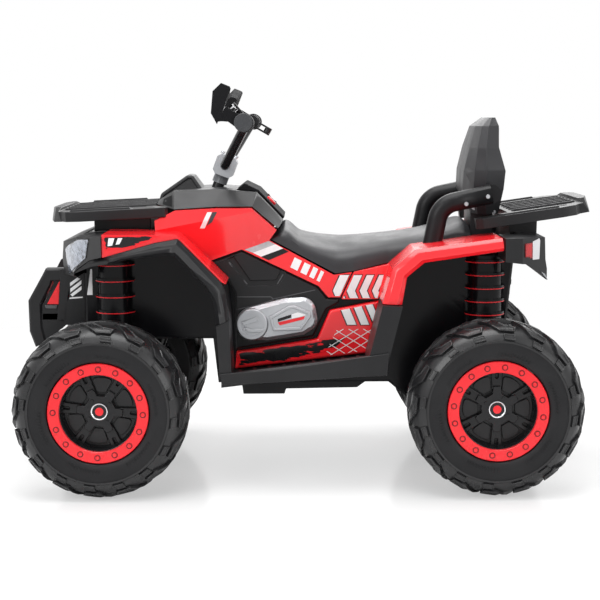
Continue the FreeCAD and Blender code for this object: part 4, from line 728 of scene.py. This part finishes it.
def addLamps(node, spec):
    inner = shrunkLamp(node, spec["shell"])
    bmesh.ops.reverse_faces(inner, faces=inner.faces[:])
    shell = mergedCopy(node)
    pourInto(shell, inner)
    finishPiece(shell, node + ".shell", spec["mat"], node, [node])
    bowl = shrunkLamp(node, spec["bowl"])
    bmesh.ops.triangulate(bowl, faces=bowl.faces[:])
    bmesh.ops.subdivide_edges(bowl, edges=bowl.edges[:], cuts=facetLook["cuts"], use_grid_fill=True)
    outward(bowl)
    for index, vert in enumerate(bowl.verts):
        vert.co -= vert.normal * spec["relief"] * (index % 3)
    finishPiece(bowl, node + ".bowl", facetLook["mat"], node, smooth=False)


for node, spec in lampLook.items():
    addLamps(node, spec)
print("lamps ready")


# red lines round the moulded shock columns

shockLook = {
    "front": {"x": -404.8, "rings": 5}, "rear": {"x": 374.4, "rings": 6}, "y": 140, "foot": 310, "run": 166.5,
    "radius": 40.6, "profile": [(0, -1.3), (1, -0.65), (1, 0.65), (0, 1.3)], "steps": 72,
}


def addShockLines():
    bm = bmesh.new()
    spec = shockLook
    for end in ("front", "rear"):
        x, rings = spec[end]["x"], spec[end]["rings"]
        for sign in sides.values():
            y = sign * spec["y"]
            for ring in range(rings):
                z = spec["foot"] + (ring + 0.5) * spec["run"] / rings
                chain = [bm.verts.new((x + spec["radius"] + out, y, z + up)) for out, up in spec["profile"]]
                spinChain(bm, chain, False, (x, y, 0), (0, 0, 1), spec["steps"])
    toMetres(bm, False)
    finishPiece(bm, "shockLines", "ringRed", "tank_panel_left")


addShockLines()
print("shock lines ready")


# louvres on the leaning rear wall, each wider than the one below

louvreLook = {
    "rows": 5, "first": 322, "pitch": 22, "tall": 12, "half": 96, "widen": 6, "taper": 4, "wall": (415, 300),
    "lean": 0.106,
}


def louvreOutlines():
    wallX, wallZ = louvreLook["wall"]
    outlines = []
    for row in range(louvreLook["rows"]):
        low = louvreLook["first"] + row * louvreLook["pitch"]
        half = louvreLook["half"] + row * louvreLook["widen"]
        short, high = half - louvreLook["taper"], low + louvreLook["tall"]
        corners = ((-half, low), (half, low), (short, high), (-short, high))
        outlines.append([(wallX + louvreLook["lean"] * (z - wallZ), y, z) for y, z in corners])
    return outlines


# raised details on the left side, in millimetres, mirrored to the right; with y given they lie along X and Z

tailAway = (0.736, -0.677, 0)
raisedLook = {"mat": "satinBlack", "away": (0, -1, 0), "draft": 0.5}
raised = {
    "enginePlate": {"mat": "silverLacquer", "node": "engine_cover_left", "height": 8, "edge": 1.6, "frame": 5,
        "sink": 1.8, "y": -174.5, "outlines": [[(-80, 351), (-38.5, 374.5), (-26.8, 375), (5.5, 361),
        (7, 351), (-12.4, 323), (-72, 322)]]},
    "discLedges": {"mat": "silverLacquer", "node": "engine_cover_left", "height": 4.5, "edge": 1, "y": -179,
        "outlines": [[(-138, 341), (-107, 351), (-104, 342.5), (-132.5, 333.5)], [(-133, 331), (-124, 319.5),
        (-97, 319.5), (-89, 327), (-109, 328), (-119, 326.5)]]},
    "tailStrip": {"mat": "polished", "node": "rear_fascia", "away": tailAway, "height": 1.8, "edge": 0.6,
        "outlines": [[(454.5, -261.5, 513.4), (470.5, -243.5, 518.5), (472.5, -241.8, 514),
        (471, -243.5, 476), (455.1, -260.8, 476.3)]]},
    "finTips": {"mat": "silverLacquer", "node": "rear_fascia", "away": tailAway, "height": 1.2, "edge": 0.4,
        "outlines": [[(476, -237.9, 450), (486, -227.2, 444), (493, -219.6, 431)]]},
    "tailGlow": {"mat": "redLens", "node": "tail_lamps", "away": tailAway, "height": 2.2, "edge": 0.7,
        "outlines": [[(437, -280.6, 510.5), (453, -263.2, 511), (453.6, -262.5, 481.5),
        (437.4, -280.1, 483)]]},
    "sillPlates": {"node": "footboard_left", "height": 6, "edge": 2.2, "y": -297, "outlines": [[(-177, 252.5),
        (-56.6, 261.8), (163.9, 293), (160.6, 247.7), (96.1, 244.6), (-42.7, 235.9), (-174.4, 230.1)]]},
    "noseBracket": {"node": "front_fascia", "height": 6, "edge": 1.5, "y": -112,
        "outlines": [[(-526.1, 447.5), (-512.8, 447.5), (-508.5, 430.3), (-507.1, 409.2), (-514.7, 338.7),
        (-533.7, 338.8), (-529.9, 373), (-525.8, 422.7)]]},
    "nosePlate": {"node": "front_fascia", "height": 5, "edge": 0.8, "y": -107, "outlines": [[(-526, 424),
        (-566, 371), (-566, 338), (-512, 338), (-510, 424)]]},
    "noseRed": {"mat": "ringRed", "node": "front_grille", "height": 2, "edge": 0.6, "y": -112,
        "outlines": [[(-526.7, 423), (-554.8, 372.7), (-530.4, 372.2)]]},
    "noseStrip": {"mat": "highlightAndStripGrey", "node": "front_fascia", "height": 3, "edge": 0.8, "y": -112,
        "outlines": [[(-560.2, 370.1), (-533.9, 369.9), (-535, 363), (-557.9, 363.5)]]},
    "rearPanel": {"node": "chassis_tub", "away": (0.9978, 0, 0.067), "height": 6, "edge": 2, "frame": 10,
        "sink": 3, "single": True, "outlines": [[(424, -105, 196), (424, 105, 196), (418.3, 122, 281),
        (418.3, -122, 281)]]},
    "rearLouvres": {"node": "chassis_tub", "away": (0.994, 0, -0.105), "height": 7, "edge": 2, "single": True,
        "outlines": louvreOutlines()},
    "backPanel": {"mat": "grainedSeat", "node": "backrest", "away": (0.9987, 0, -0.05), "height": 5,
        "edge": 2, "frame": 9, "sink": 2, "single": True, "outlines": [[(404.2, -84, 690), (404.2, 84, 690),
        (406.6, 66, 741), (406.6, -66, 741)]]},
    "noseBadge": {"mat": "glossBlack", "node": "front_fascia", "away": (-0.99, 0, -0.13), "height": 5,
        "edge": 1.6, "frame": 7, "sink": 2, "single": True, "outlines": [[(-513.4, -62, 449),
        (-513.4, 62, 449), (-515.4, 84, 466), (-515.4, -84, 466)]]},
    "neckFiller": {"node": "tank_cover", "height": 4, "edge": 1, "y": -98, "outlines": [[(-306, 545),
        (-278, 545), (-278, 586), (-306, 580)]]},
    "tailMirror": {"mat": "polished", "node": "tail_lamps", "away": tailAway, "height": 0.5, "edge": 0.1,
        "outlines": [[(439, -278.4, 508), (452, -264.3, 508.5), (452.4, -263.8, 484), (439.2, -278.2, 485)]]},
}


def addRaised(name, spec):
    bm = bmesh.new()
    away = Vector(spec.get("away", raisedLook["away"]))
    tops = []
    for outline in spec["outlines"]:
        points = [(x, spec["y"], z) for x, z in outline] if "y" in spec else outline
        face = bm.faces.new([bm.verts.new(point) for point in points])
        face.normal_update()
        if face.normal.dot(away) < 0:
            face.normal_flip()
        tops.append(lift(bm, face, away * spec["height"]))
    rims = [edge for top in tops for edge in top.edges]
    if "frame" in spec:
        inset(bm, tops, spec["frame"])
        inset(bm, tops, spec["sink"] * raisedLook["draft"], -spec["sink"])
    bevel(bm, rims, spec["edge"], 3)
    toMetres(bm, "single" not in spec)
    skins[name] = finishPiece(bm, name, spec.get("mat", raisedLook["mat"]), spec["node"])


for raisedName, spec in raised.items():
    addRaised(raisedName, spec)
print("raised details ready")


# cowl ahead of the bars: its side outline along X and Z in millimetres, drawn in towards the top

cowlLook = {
    "outline": [(-318, 588), (-313, 604), (-258, 642), (-245, 642), (-223, 611), (-226, 598), (-292, 590)],
    "half": 62, "foot": 588, "taper": 0.4, "edge": 3.2, "frame": 6, "sink": 2.4,
}


def addCowl():
    bm = bmesh.new()
    rings = []
    for sign in sides.values():
        rings.append([])
        for x, z in cowlLook["outline"]:
            half = cowlLook["half"] - (z - cowlLook["foot"]) * cowlLook["taper"]
            rings[-1].append(bm.verts.new((x, sign * half, z)))
    flanks = [bm.faces.new(ring) for ring in rings]
    bridge(bm, *rings)
    outward(bm)
    rims = bm.edges[:]
    sink = cowlLook["sink"]
    bmesh.ops.inset_individual(bm, faces=flanks, thickness=cowlLook["frame"], use_even_offset=True)
    bmesh.ops.inset_individual(bm, faces=flanks, thickness=sink, depth=-sink, use_even_offset=True)
    bevel(bm, rims, cowlLook["edge"], 3)
    toMetres(bm, False)
    finishPiece(bm, "cowl", "satinBlack", "tank_cover")


addCowl()
print("cowl ready")


# long ribs on the rack decks, discs on the bar ends and screw heads

ribLook = {
    "rows": (20, 58, 100, 174), "half": 4.5, "top": 2.6, "rise": 3.4, "sink": 1, "slant": 3, "edge": 0.7,
    "front_rack": (26, 222), "rear_rack": (84, 222), "short": (48, 176),
}
barEnd = {"place": (-125, -306, 755.4), "base": 18.4, "face": 18.4, "depth": 4, "edge": 1.4, "steps": 40}
screwLook = {"base": 5.2, "face": 4, "depth": 2.4, "steps": 18, "inset": 1.6, "draft": 0.3, "sink": -1}
screws = {
    "armrest_left": {"away": (0, -1, 0), "spots": [(374.7, -180, 600), (330, -180, 585)]},
    "backrest": {"away": (0, -1, 0), "spots": [(357.1, -86, 570.8), (397.7, -96, 562.3)]},
    "chassis_tub": {"away": (1, 0, 0.067), "spots": [(424.5, -92, 204), (419.4, -108, 272)]},
    "rear_fascia": {"away": (1, 0, 0.04), "spots": [(486.8, -60, 500), (486.8, -150, 500)]},
    "front_fascia": {"away": (-0.99, 0, 0.11), "spots": [(-515.1, -60, 490), (-515.1, -112, 490)]},
}


def addRibs(node):
    bm = bmesh.new()
    footX, footZ = rackLook[node]["foot"]
    tilt = Matrix.Rotation(-rackLook[node]["tilt"], 4, "Y")
    place = Matrix.Translation((footX * 1000, 0, footZ * 1000)) @ tilt
    deck = rackLook["deck"] * 1000
    half, top, rise, sink = (ribLook[key] for key in ("half", "top", "rise", "sink"))
    section = [(-half, -sink), (-top, rise), (top, rise), (half, -sink)]
    for row in ribLook["rows"]:
        start, stop = ribLook["short" if row == max(ribLook["rows"]) else node]
        ends = []
        for u, slant in ((start, ribLook["slant"]), (stop, -ribLook["slant"])):
            ends.append([bm.verts.new(place @ Vector((u + slant * (up > 0), across - row, deck + up)))
                         for across, up in section])
            bm.faces.new(ends[-1])
        bridge(bm, *ends)
    outward(bm)
    bevel(bm, bm.edges[:], ribLook["edge"], 2)
    toMetres(bm)
    finishPiece(bm, node + "Ribs", "satinBlack", node)


def addBarEnds():
    bm = bmesh.new()
    turn = Matrix.Rotation(math.pi / 2, 4, "X")
    disc = addCone(bm, barEnd, Matrix.Translation(barEnd["place"]) @ turn)
    rims = {edge for vert in disc for edge in vert.link_edges if edge.calc_face_angle(0) > joining["sharp"]}
    bevel(bm, list(rims), barEnd["edge"], 3)
    toMetres(bm)
    finishPiece(bm, "barEnds", "printGrey", "grip_left")


def addScrews(node, spec):
    bm = bmesh.new()
    away = Vector(spec["away"])
    turn = away.to_track_quat("Z", "Y").to_matrix().to_4x4()
    for spot in spec["spots"]:
        head = addCone(bm, screwLook, Matrix.Translation(spot) @ turn)
        faces = {face for vert in head for face in vert.link_faces if len(face.verts) > 4}
        front = max(faces, key=lambda face: face.calc_center_median().dot(away))
        bmesh.ops.inset_region(bm, faces=[front], thickness=screwLook["inset"])
        bmesh.ops.inset_region(bm, faces=[front], thickness=screwLook["draft"], depth=screwLook["sink"])
    toMetres(bm)
    finishPiece(bm, node.removesuffix("_left") + "Screws", "zincSteel", node)


for node in ("front_rack", "rear_rack"):
    addRibs(node)
addBarEnds()
for node, spec in screws.items():
    addScrews(node, spec)
print("ribs, bar ends and screws ready")


# seat: smooth sections between stations, in millimetres: x, half width, foot, ridge, top, crown

seatLook = {
    "stations": [(-76, 156, 512.4, 513, 515, 62.4), (-46, 156, 496.2, 530, 541, 65.5),
        (-14, 156, 478.9, 507, 519, 71.8), (59, 156, 439.5, 480, 508, 85.8), (99, 156, 444.5, 482, 508, 93.6),
        (168, 138.8, 459.7, 489, 513, 103), (203, 138.8, 467.5, 493, 517, 106.1),
        (226, 138.8, 482.5, 500, 520, 106.1), (248, 138.8, 485.5, 506, 523, 106.1),
        (296, 138.8, 492, 520, 536, 103), (332, 135.7, 497, 524, 547, 96.7),
        (346, 131, 497.5, 514, 538, 93.6)],
    "between": 6, "ridge": 0.97, "hump": 0.4, "arch": (1, 0.75, 0.5, 0.25, 0), "rounds": 2, "cut": 0.25,
}


def seatValue(column, index, share, smooth):
    rows = seatLook["stations"]
    here, there = rows[index], rows[index + 1]
    if not smooth:
        return here[column] + (there[column] - here[column]) * share
    span = there[0] - here[0]
    slopes = []
    for spot in (index, index + 1):
        before, after = rows[max(spot - 1, 0)], rows[min(spot + 1, len(rows) - 1)]
        slopes.append((after[column] - before[column]) / (after[0] - before[0]) * span)
    square, cube = share ** 2, share ** 3
    return ((2 * cube - 3 * square + 1) * here[column] + (cube - 2 * square + share) * slopes[0]
            + (3 * square - 2 * cube) * there[column] + (cube - square) * slopes[1])


def seatSection(values):
    base, low, middle, top, crown = values
    foot = top - (top - middle) * seatLook["hump"]
    half = [(base, low), (base * seatLook["ridge"], middle)]
    half += [(crown * t, top - (top - foot) * t * t) for t in seatLook["arch"]]
    near, far = seatLook["cut"], 1 - seatLook["cut"]
    for turn in range(seatLook["rounds"]):
        cut = [half[0]]
        for (ya, za), (yb, zb) in zip(half, half[1:]):
            cut.append((ya * far + yb * near, za * far + zb * near))
            cut.append((ya * near + yb * far, za * near + zb * far))
        half = cut + [half[-1]]
    return [(-y, z) for y, z in half] + [(y, z) for y, z in half[-2::-1]]


def addSeat():
    bm = bmesh.new()
    rings = []
    rows = seatLook["stations"]
    for index in range(len(rows) - 1):
        for step in range(seatLook["between"] + (index == len(rows) - 2)):
            share = step / seatLook["between"]
            x = seatValue(0, index, share, False)
            values = [seatValue(column, index, share, column > 2) for column in range(1, 6)]
            rings.append([bm.verts.new((x, y, z)) for y, z in seatSection(values)])
    for near, far in zip(rings, rings[1:]):
        bridge(bm, near, far)
    bm.faces.new(rings[0])
    bm.faces.new(rings[-1])
    toMetres(bm, False)
    skins["seat"] = finishPiece(bm, "seat.skin", "grainedSeat", "seat", ["seat"])


addSeat()
print("seat ready")


# headlight covers: a clear domed cover over bright facets, round an outline on the fascia

coverLook = {
    "outline": [(-507.9, -144.5, 493.6), (-500, -159.6, 502.4), (-471, -212.5, 519.8),
        (-441.1, -253.4, 523.5), (-442.5, -251.5, 515.7), (-449.2, -242.4, 482.1), (-475.2, -206.8, 461.2),
        (-496.9, -165.6, 441.5), (-505.1, -149.8, 473.4)],
    "away": (-0.86, -0.51, 0), "rings": [(0.02, 0.8, 0.8), (0.22, 3.6, 3.6), (0.62, 5.2, 5.2)], "crown": 5.6,
    "skin": 1.0, "facets": [(0.05, 0.5, 0.5), (0.38, 1.0, 2.6), (0.7, 2.4, 0.9)], "middle": 1.6,
}


def coverRings(table, middle):
    bm = bmesh.new()
    points = [Vector(point) for point in coverLook["outline"]]
    centre = sum(points, Vector()) / len(points)
    away = Vector(coverLook["away"]).normalized()
    rings = []
    for share, odd, even in table:
        rings.append([bm.verts.new(point.lerp(centre, share) + away * (odd if index % 2 else even))
                      for index, point in enumerate(points)])
    tip = bm.verts.new(centre + away * middle)
    for outer, inner in zip(rings, rings[1:]):
        bridge(bm, outer, inner)
    for here, there in zip(rings[-1], rings[-1][1:] + rings[-1][:1]):
        bm.faces.new((here, there, tip))
    return bm


def addCovers():
    glass = coverRings(coverLook["rings"], coverLook["crown"])
    outward(glass)
    bmesh.ops.solidify(glass, geom=glass.faces[:], thickness=coverLook["skin"])
    facets = coverRings(coverLook["facets"], coverLook["middle"])
    bmesh.ops.triangulate(facets, faces=facets.faces[:])
    for bm, name, mat in ((glass, "lampCovers", "clearLens"), (facets, "lampFacets", "lampSilver")):
        toMetres(bm)
        finishPiece(bm, name, mat, "headlight_lenses", smooth=mat == "clearLens")


addCovers()
print("headlight covers ready")


# printed stickers, drawn on the left side in millimetres along X and Z and mirrored to the right

stickerLook = {
    "on": "tank_panel_left", "cell": 4, "lift": 0.35, "step": 3, "fadeRun": 5, "fade": 0.3, "far": 0.6,
}
panels = {
    "bandTail": {"on": "tank_panel_left", "outline": [(53, 433.5), (91.5, 439.5), (68, 391.5), (46, 391.5)]},
    "rearPanel": {"on": "rear_fender_left", "outline": [(100, 441), (165, 455), (147.5, 387.5), (75, 387.5)]},
    "lowerPanel": {"on": "lower_panel_left", "outline": [(25, 303.5), (50, 358), (147, 376.5), (122, 275)]},
    "lattice": {"on": "lower_panel_left",
                "outline": [(62, 322), (134, 322), (121.5, 275.5), (60, 268.5), (36, 266)]},
}
chevronLook = {
    "low": 331, "middle": 403, "top": 436, "back": 30, "lean": 15, "flank": 1.4,
    "arms": ((54, 19), (83, 17), (110, 15), (136, 13)),
    "tones": {"Edge": ("printBlack", 1.5, 0.25), "Face": ("printWhite", 0, 0.5)},
}
latticeLook = {
    "mat": "printWhite", "half": 0.9, "pitch": 19, "steps": (-2, 12), "ends": (20, 150), "lift": 0.5,
    "sets": ((0.62, 180), (-0.62, 262)),
}
stickers = {
    "tankSlashWhite": {"mat": "printWhite", "lift": 0.8, "outlines": [[(-206, 571), (-196.5, 571),
        (-212, 538), (-222, 538)]]},
    "tankSlashGrey": {"mat": "printGrey", "lift": 0.8, "outlines": [[(-195.5, 571), (-185.5, 571.5),
        (-196.5, 551), (-207.2, 543)]]},
    "bandSilver": {"mat": "printSilver", "outlines": [[(-131, 490.5), (-80, 509), (-66, 501.5),
        (-113.5, 484)]]},
    "bandWhite": {"mat": "printWhite", "outlines": [[(-113.5, 484), (-66, 501.5), (-50, 492.7),
        (-96.5, 475.6)]]},
    "bandBlack": {"mat": "printBlack", "outlines": [[(-96.5, 475.6), (-50, 492.7), (-38, 486),
        (-80.5, 468)]]},
    "bandDashes": {"mat": "printWhite", "outlines": [[(-26, 474), (-11, 466.4), (-20.4, 445.5), (-35.4, 453)],
        [(-5, 463.3), (7.5, 457), (-1.9, 436.1), (-14.4, 442.4)], [(13.5, 454), (23, 449), (13.6, 428.3),
        (4.1, 433.2)], [(29, 446), (35.5, 442.7), (26.1, 421.8), (19.6, 425.2)]]},
    "speckledLower": {"mat": "speckled", "on": "lower_panel_left", "fade": True, "outlines": [[(-145, 272),
        (22, 297.5), (88, 309), (64, 286), (10, 266), (-42, 256), (-147, 243.5)]]},
    "frontPatch": {"mat": "speckled", "fade": True, "outlines": [[(-407, 533), (-296, 532.5), (-296, 529),
        (-352, 508), (-407, 502)]]},
    "frontDashes": {"mat": "printWhite", "lift": 0.6, "outlines": [[(-398, 527), (-386, 527), (-391, 512),
        (-400, 511)], [(-379, 527), (-370, 527), (-376, 515), (-384, 514)]]},
    # coverPaintedShade: a flat dull black sheet on the tank cover's front flank, painted shade standing in
    # for a recess
    "coverPaintedShade": {"mat": "dullBlack", "on": "tank_cover", "lift": 0.6, "step": 14,
        "outlines": [[(-304.5, 584), (-303.5, 594), (-284.5, 603), (-282.5, 581)]]},
    "tubWedge": {"mat": "printWhite", "on": "chassis_tub", "outlines": [[(-457, 450), (-453.5, 450),
        (-453.5, 395), (-465, 395)]]},
    "chinStripes": {"mat": "printWhite", "on": "front_fascia", "outlines": [[(-504, 398), (-480, 416),
        (-480, 424), (-504, 406)], [(-504, 411), (-482, 427), (-488, 430), (-504, 418.5)], [(-500, 389),
        (-480, 403.5), (-480, 411.5), (-504, 393.5)], [(-506, 384), (-478, 386), (-478, 389), (-506, 387)]]},
    "engineBlack": {"mat": "printBlack", "on": "enginePlate engine_cover_left", "outlines": [[(-62, 347.5),
        (-34, 356.5), (-34, 350), (-62, 341)]]},
    "engineRed": {"mat": "ringRed", "on": "enginePlate engine_cover_left", "outlines": [[(-62, 340),
        (-5, 353), (-8, 346), (-58, 333.5)]]},
    "engineWhite": {"mat": "printWhite", "on": "enginePlate engine_cover_left", "outlines": [[(-33, 356.8),
        (-20, 361), (-3, 356), (-5, 354), (-33, 347.6)]]},
    # ribHighlightLines and grooveHighlightLine: light grey strips along the side cover's ribs and groove
    # edge, painted highlights
    "ribHighlightLines": {"mat": "highlightAndStripGrey", "on": "side_cover_left", "outlines": [[(-150, 390.1), (-77, 389.8),
        (-77, 391.6), (-150, 391.9)], [(-77, 389.8), (-72, 385), (-71, 386.6), (-76.4, 391.6)], [(-72, 385),
        (17, 404), (17, 405.8), (-72, 386.8)], [(-150, 363), (-105, 372.8), (-105, 374.6), (-150, 364.8)],
        [(-105, 372.8), (-72, 383.4), (-72, 385.2), (-105, 374.6)]]},
    "grooveHighlightLine": {"mat": "highlightAndStripGrey", "on": "side_cover_left", "outlines": [[(-165, 463.5), (-125, 413.5),
        (-123.6, 415.6), (-163, 465)], [(-125, 413.3), (-64, 413), (-64.6, 415.6), (-124, 415.8)],
        [(-64, 413), (-49.5, 437), (-51.6, 438), (-65.4, 415.2)]]},
}


def chevron(x, arm, grow):
    spec = chevronLook
    low, middle, top = spec["low"] - grow, spec["middle"], spec["top"] + grow
    left = x - grow * spec["flank"]
    right = x + arm + grow * spec["flank"]
    return [[(left, middle), (right, middle), (right + spec["lean"], top), (left + spec["lean"], top)],
            [(left, middle), (left + spec["back"], low), (right + spec["back"], low), (right, middle)]]


def latticeLines():
    lines = []
    half = latticeLook["half"]
    start, stop = latticeLook["ends"]
    for slope, foot in latticeLook["sets"]:
        for step in range(*latticeLook["steps"]):
            base = foot + step * latticeLook["pitch"]
            first, last = base + slope * start, base + slope * stop
            lines.append([(start, first - half), (stop, last - half), (stop, last + half),
                          (start, first + half)])
    return lines


def clipTo(bm, outline):
    middle = sum((Vector(point) for point in outline), Vector((0, 0))) / len(outline)
    for (ax, az), (bx, bz) in zip(outline, outline[1:] + outline[:1]):
        away = Vector((bz - az, 0, ax - bx))
        if away.dot(Vector((middle.x - ax, 0, middle.y - az))) > 0:
            away.negate()
        bmesh.ops.bisect_plane(bm, geom=allOf(bm), plane_co=(ax, 0, az), plane_no=away, clear_outer=True)


def cutCells(bm):
    for axis in (0, 2):
        spots = [vert.co[axis] for vert in bm.verts]
        steps = int((max(spots) - min(spots)) / stickerLook["cell"])
        for step in range(1, steps + 1):
            point = Vector()
            point[axis] = min(spots) + step * stickerLook["cell"]
            normal = Vector()
            normal[axis] = 1
            bmesh.ops.bisect_plane(bm, geom=allOf(bm), plane_co=point, plane_no=normal)


def edgeDistance(x, z, outline):
    spot = Vector((x, z))
    gaps = []
    for start, stop in zip(outline, outline[1:] + outline[:1]):
        start, side = Vector(start), Vector(stop) - Vector(start)
        share = min(max((spot - start).dot(side) / side.length_squared, 0), 1)
        gaps.append((spot - start - side * share).length)
    return min(gaps)


def skinTree(names):
    bm = bmesh.new()
    for name in names:
        bm.from_mesh(skins[name].data)
    tree = BVHTree.FromBMesh(bm)
    bm.free()
    return tree


def addSticker(name, spec):
    bm = bmesh.new()
    for outline in spec["outlines"]:
        bm.faces.new([bm.verts.new((x, 0, z)) for x, z in outline])
    if "clip" in spec:
        clipTo(bm, panels[spec["clip"]]["outline"])
    cutCells(bm)
    fades = bm.verts.layers.float.new("fade") if "fade" in spec else None
    under = spec.get("on", stickerLook["on"]).split()
    tree = skinTree(under)
    lost = []
    for vert in bm.verts:
        x, z = vert.co.x, vert.co.z
        start = Vector((x / 1000, -stickerLook["far"], z / 1000))
        hit, normal, index, run = tree.ray_cast(start, Vector((0, 1, 0)))
        if fades is not None:
            inside = edgeDistance(x, z, spec["outlines"][0]) / stickerLook["fadeRun"]
            vert[fades] = min(inside, 1) * stickerLook["fade"]
        if hit is None:
            lost.append(vert)
        else:
            vert.co = hit + normal * (spec.get("lift", stickerLook["lift"]) / 1000)
    bmesh.ops.delete(bm, geom=lost, context="VERTS")
    broken = []
    for face in bm.faces:
        depths = [vert.co.y for vert in face.verts]
        if max(depths) - min(depths) > spec.get("step", stickerLook["step"]) / 1000:
            broken.append(face)
    bmesh.ops.delete(bm, geom=broken, context="FACES")
    addMirror(bm)
    for face in bm.faces:
        face.normal_update()
        if face.normal.y * face.calc_center_median().y < 0:
            face.normal_flip()
    finishPiece(bm, name, spec["mat"], under[-1])


for panel in ("bandTail", "rearPanel", "lowerPanel"):
    for tone, (mat, grow, rise) in chevronLook["tones"].items():
        arms = [quad for x, arm in chevronLook["arms"] for quad in chevron(x, arm, grow)]
        stickers[panel + "Chevron" + tone] = {
            "mat": mat, "on": panels[panel]["on"], "outlines": arms, "clip": panel, "lift": rise}
stickers["lattice"] = {"mat": latticeLook["mat"], "on": panels["lattice"]["on"], "outlines": latticeLines(),
                       "clip": "lattice", "lift": latticeLook["lift"]}
for stickerName, spec in stickers.items():
    addSticker(stickerName, spec)
print("stickers ready:", len(stickers))
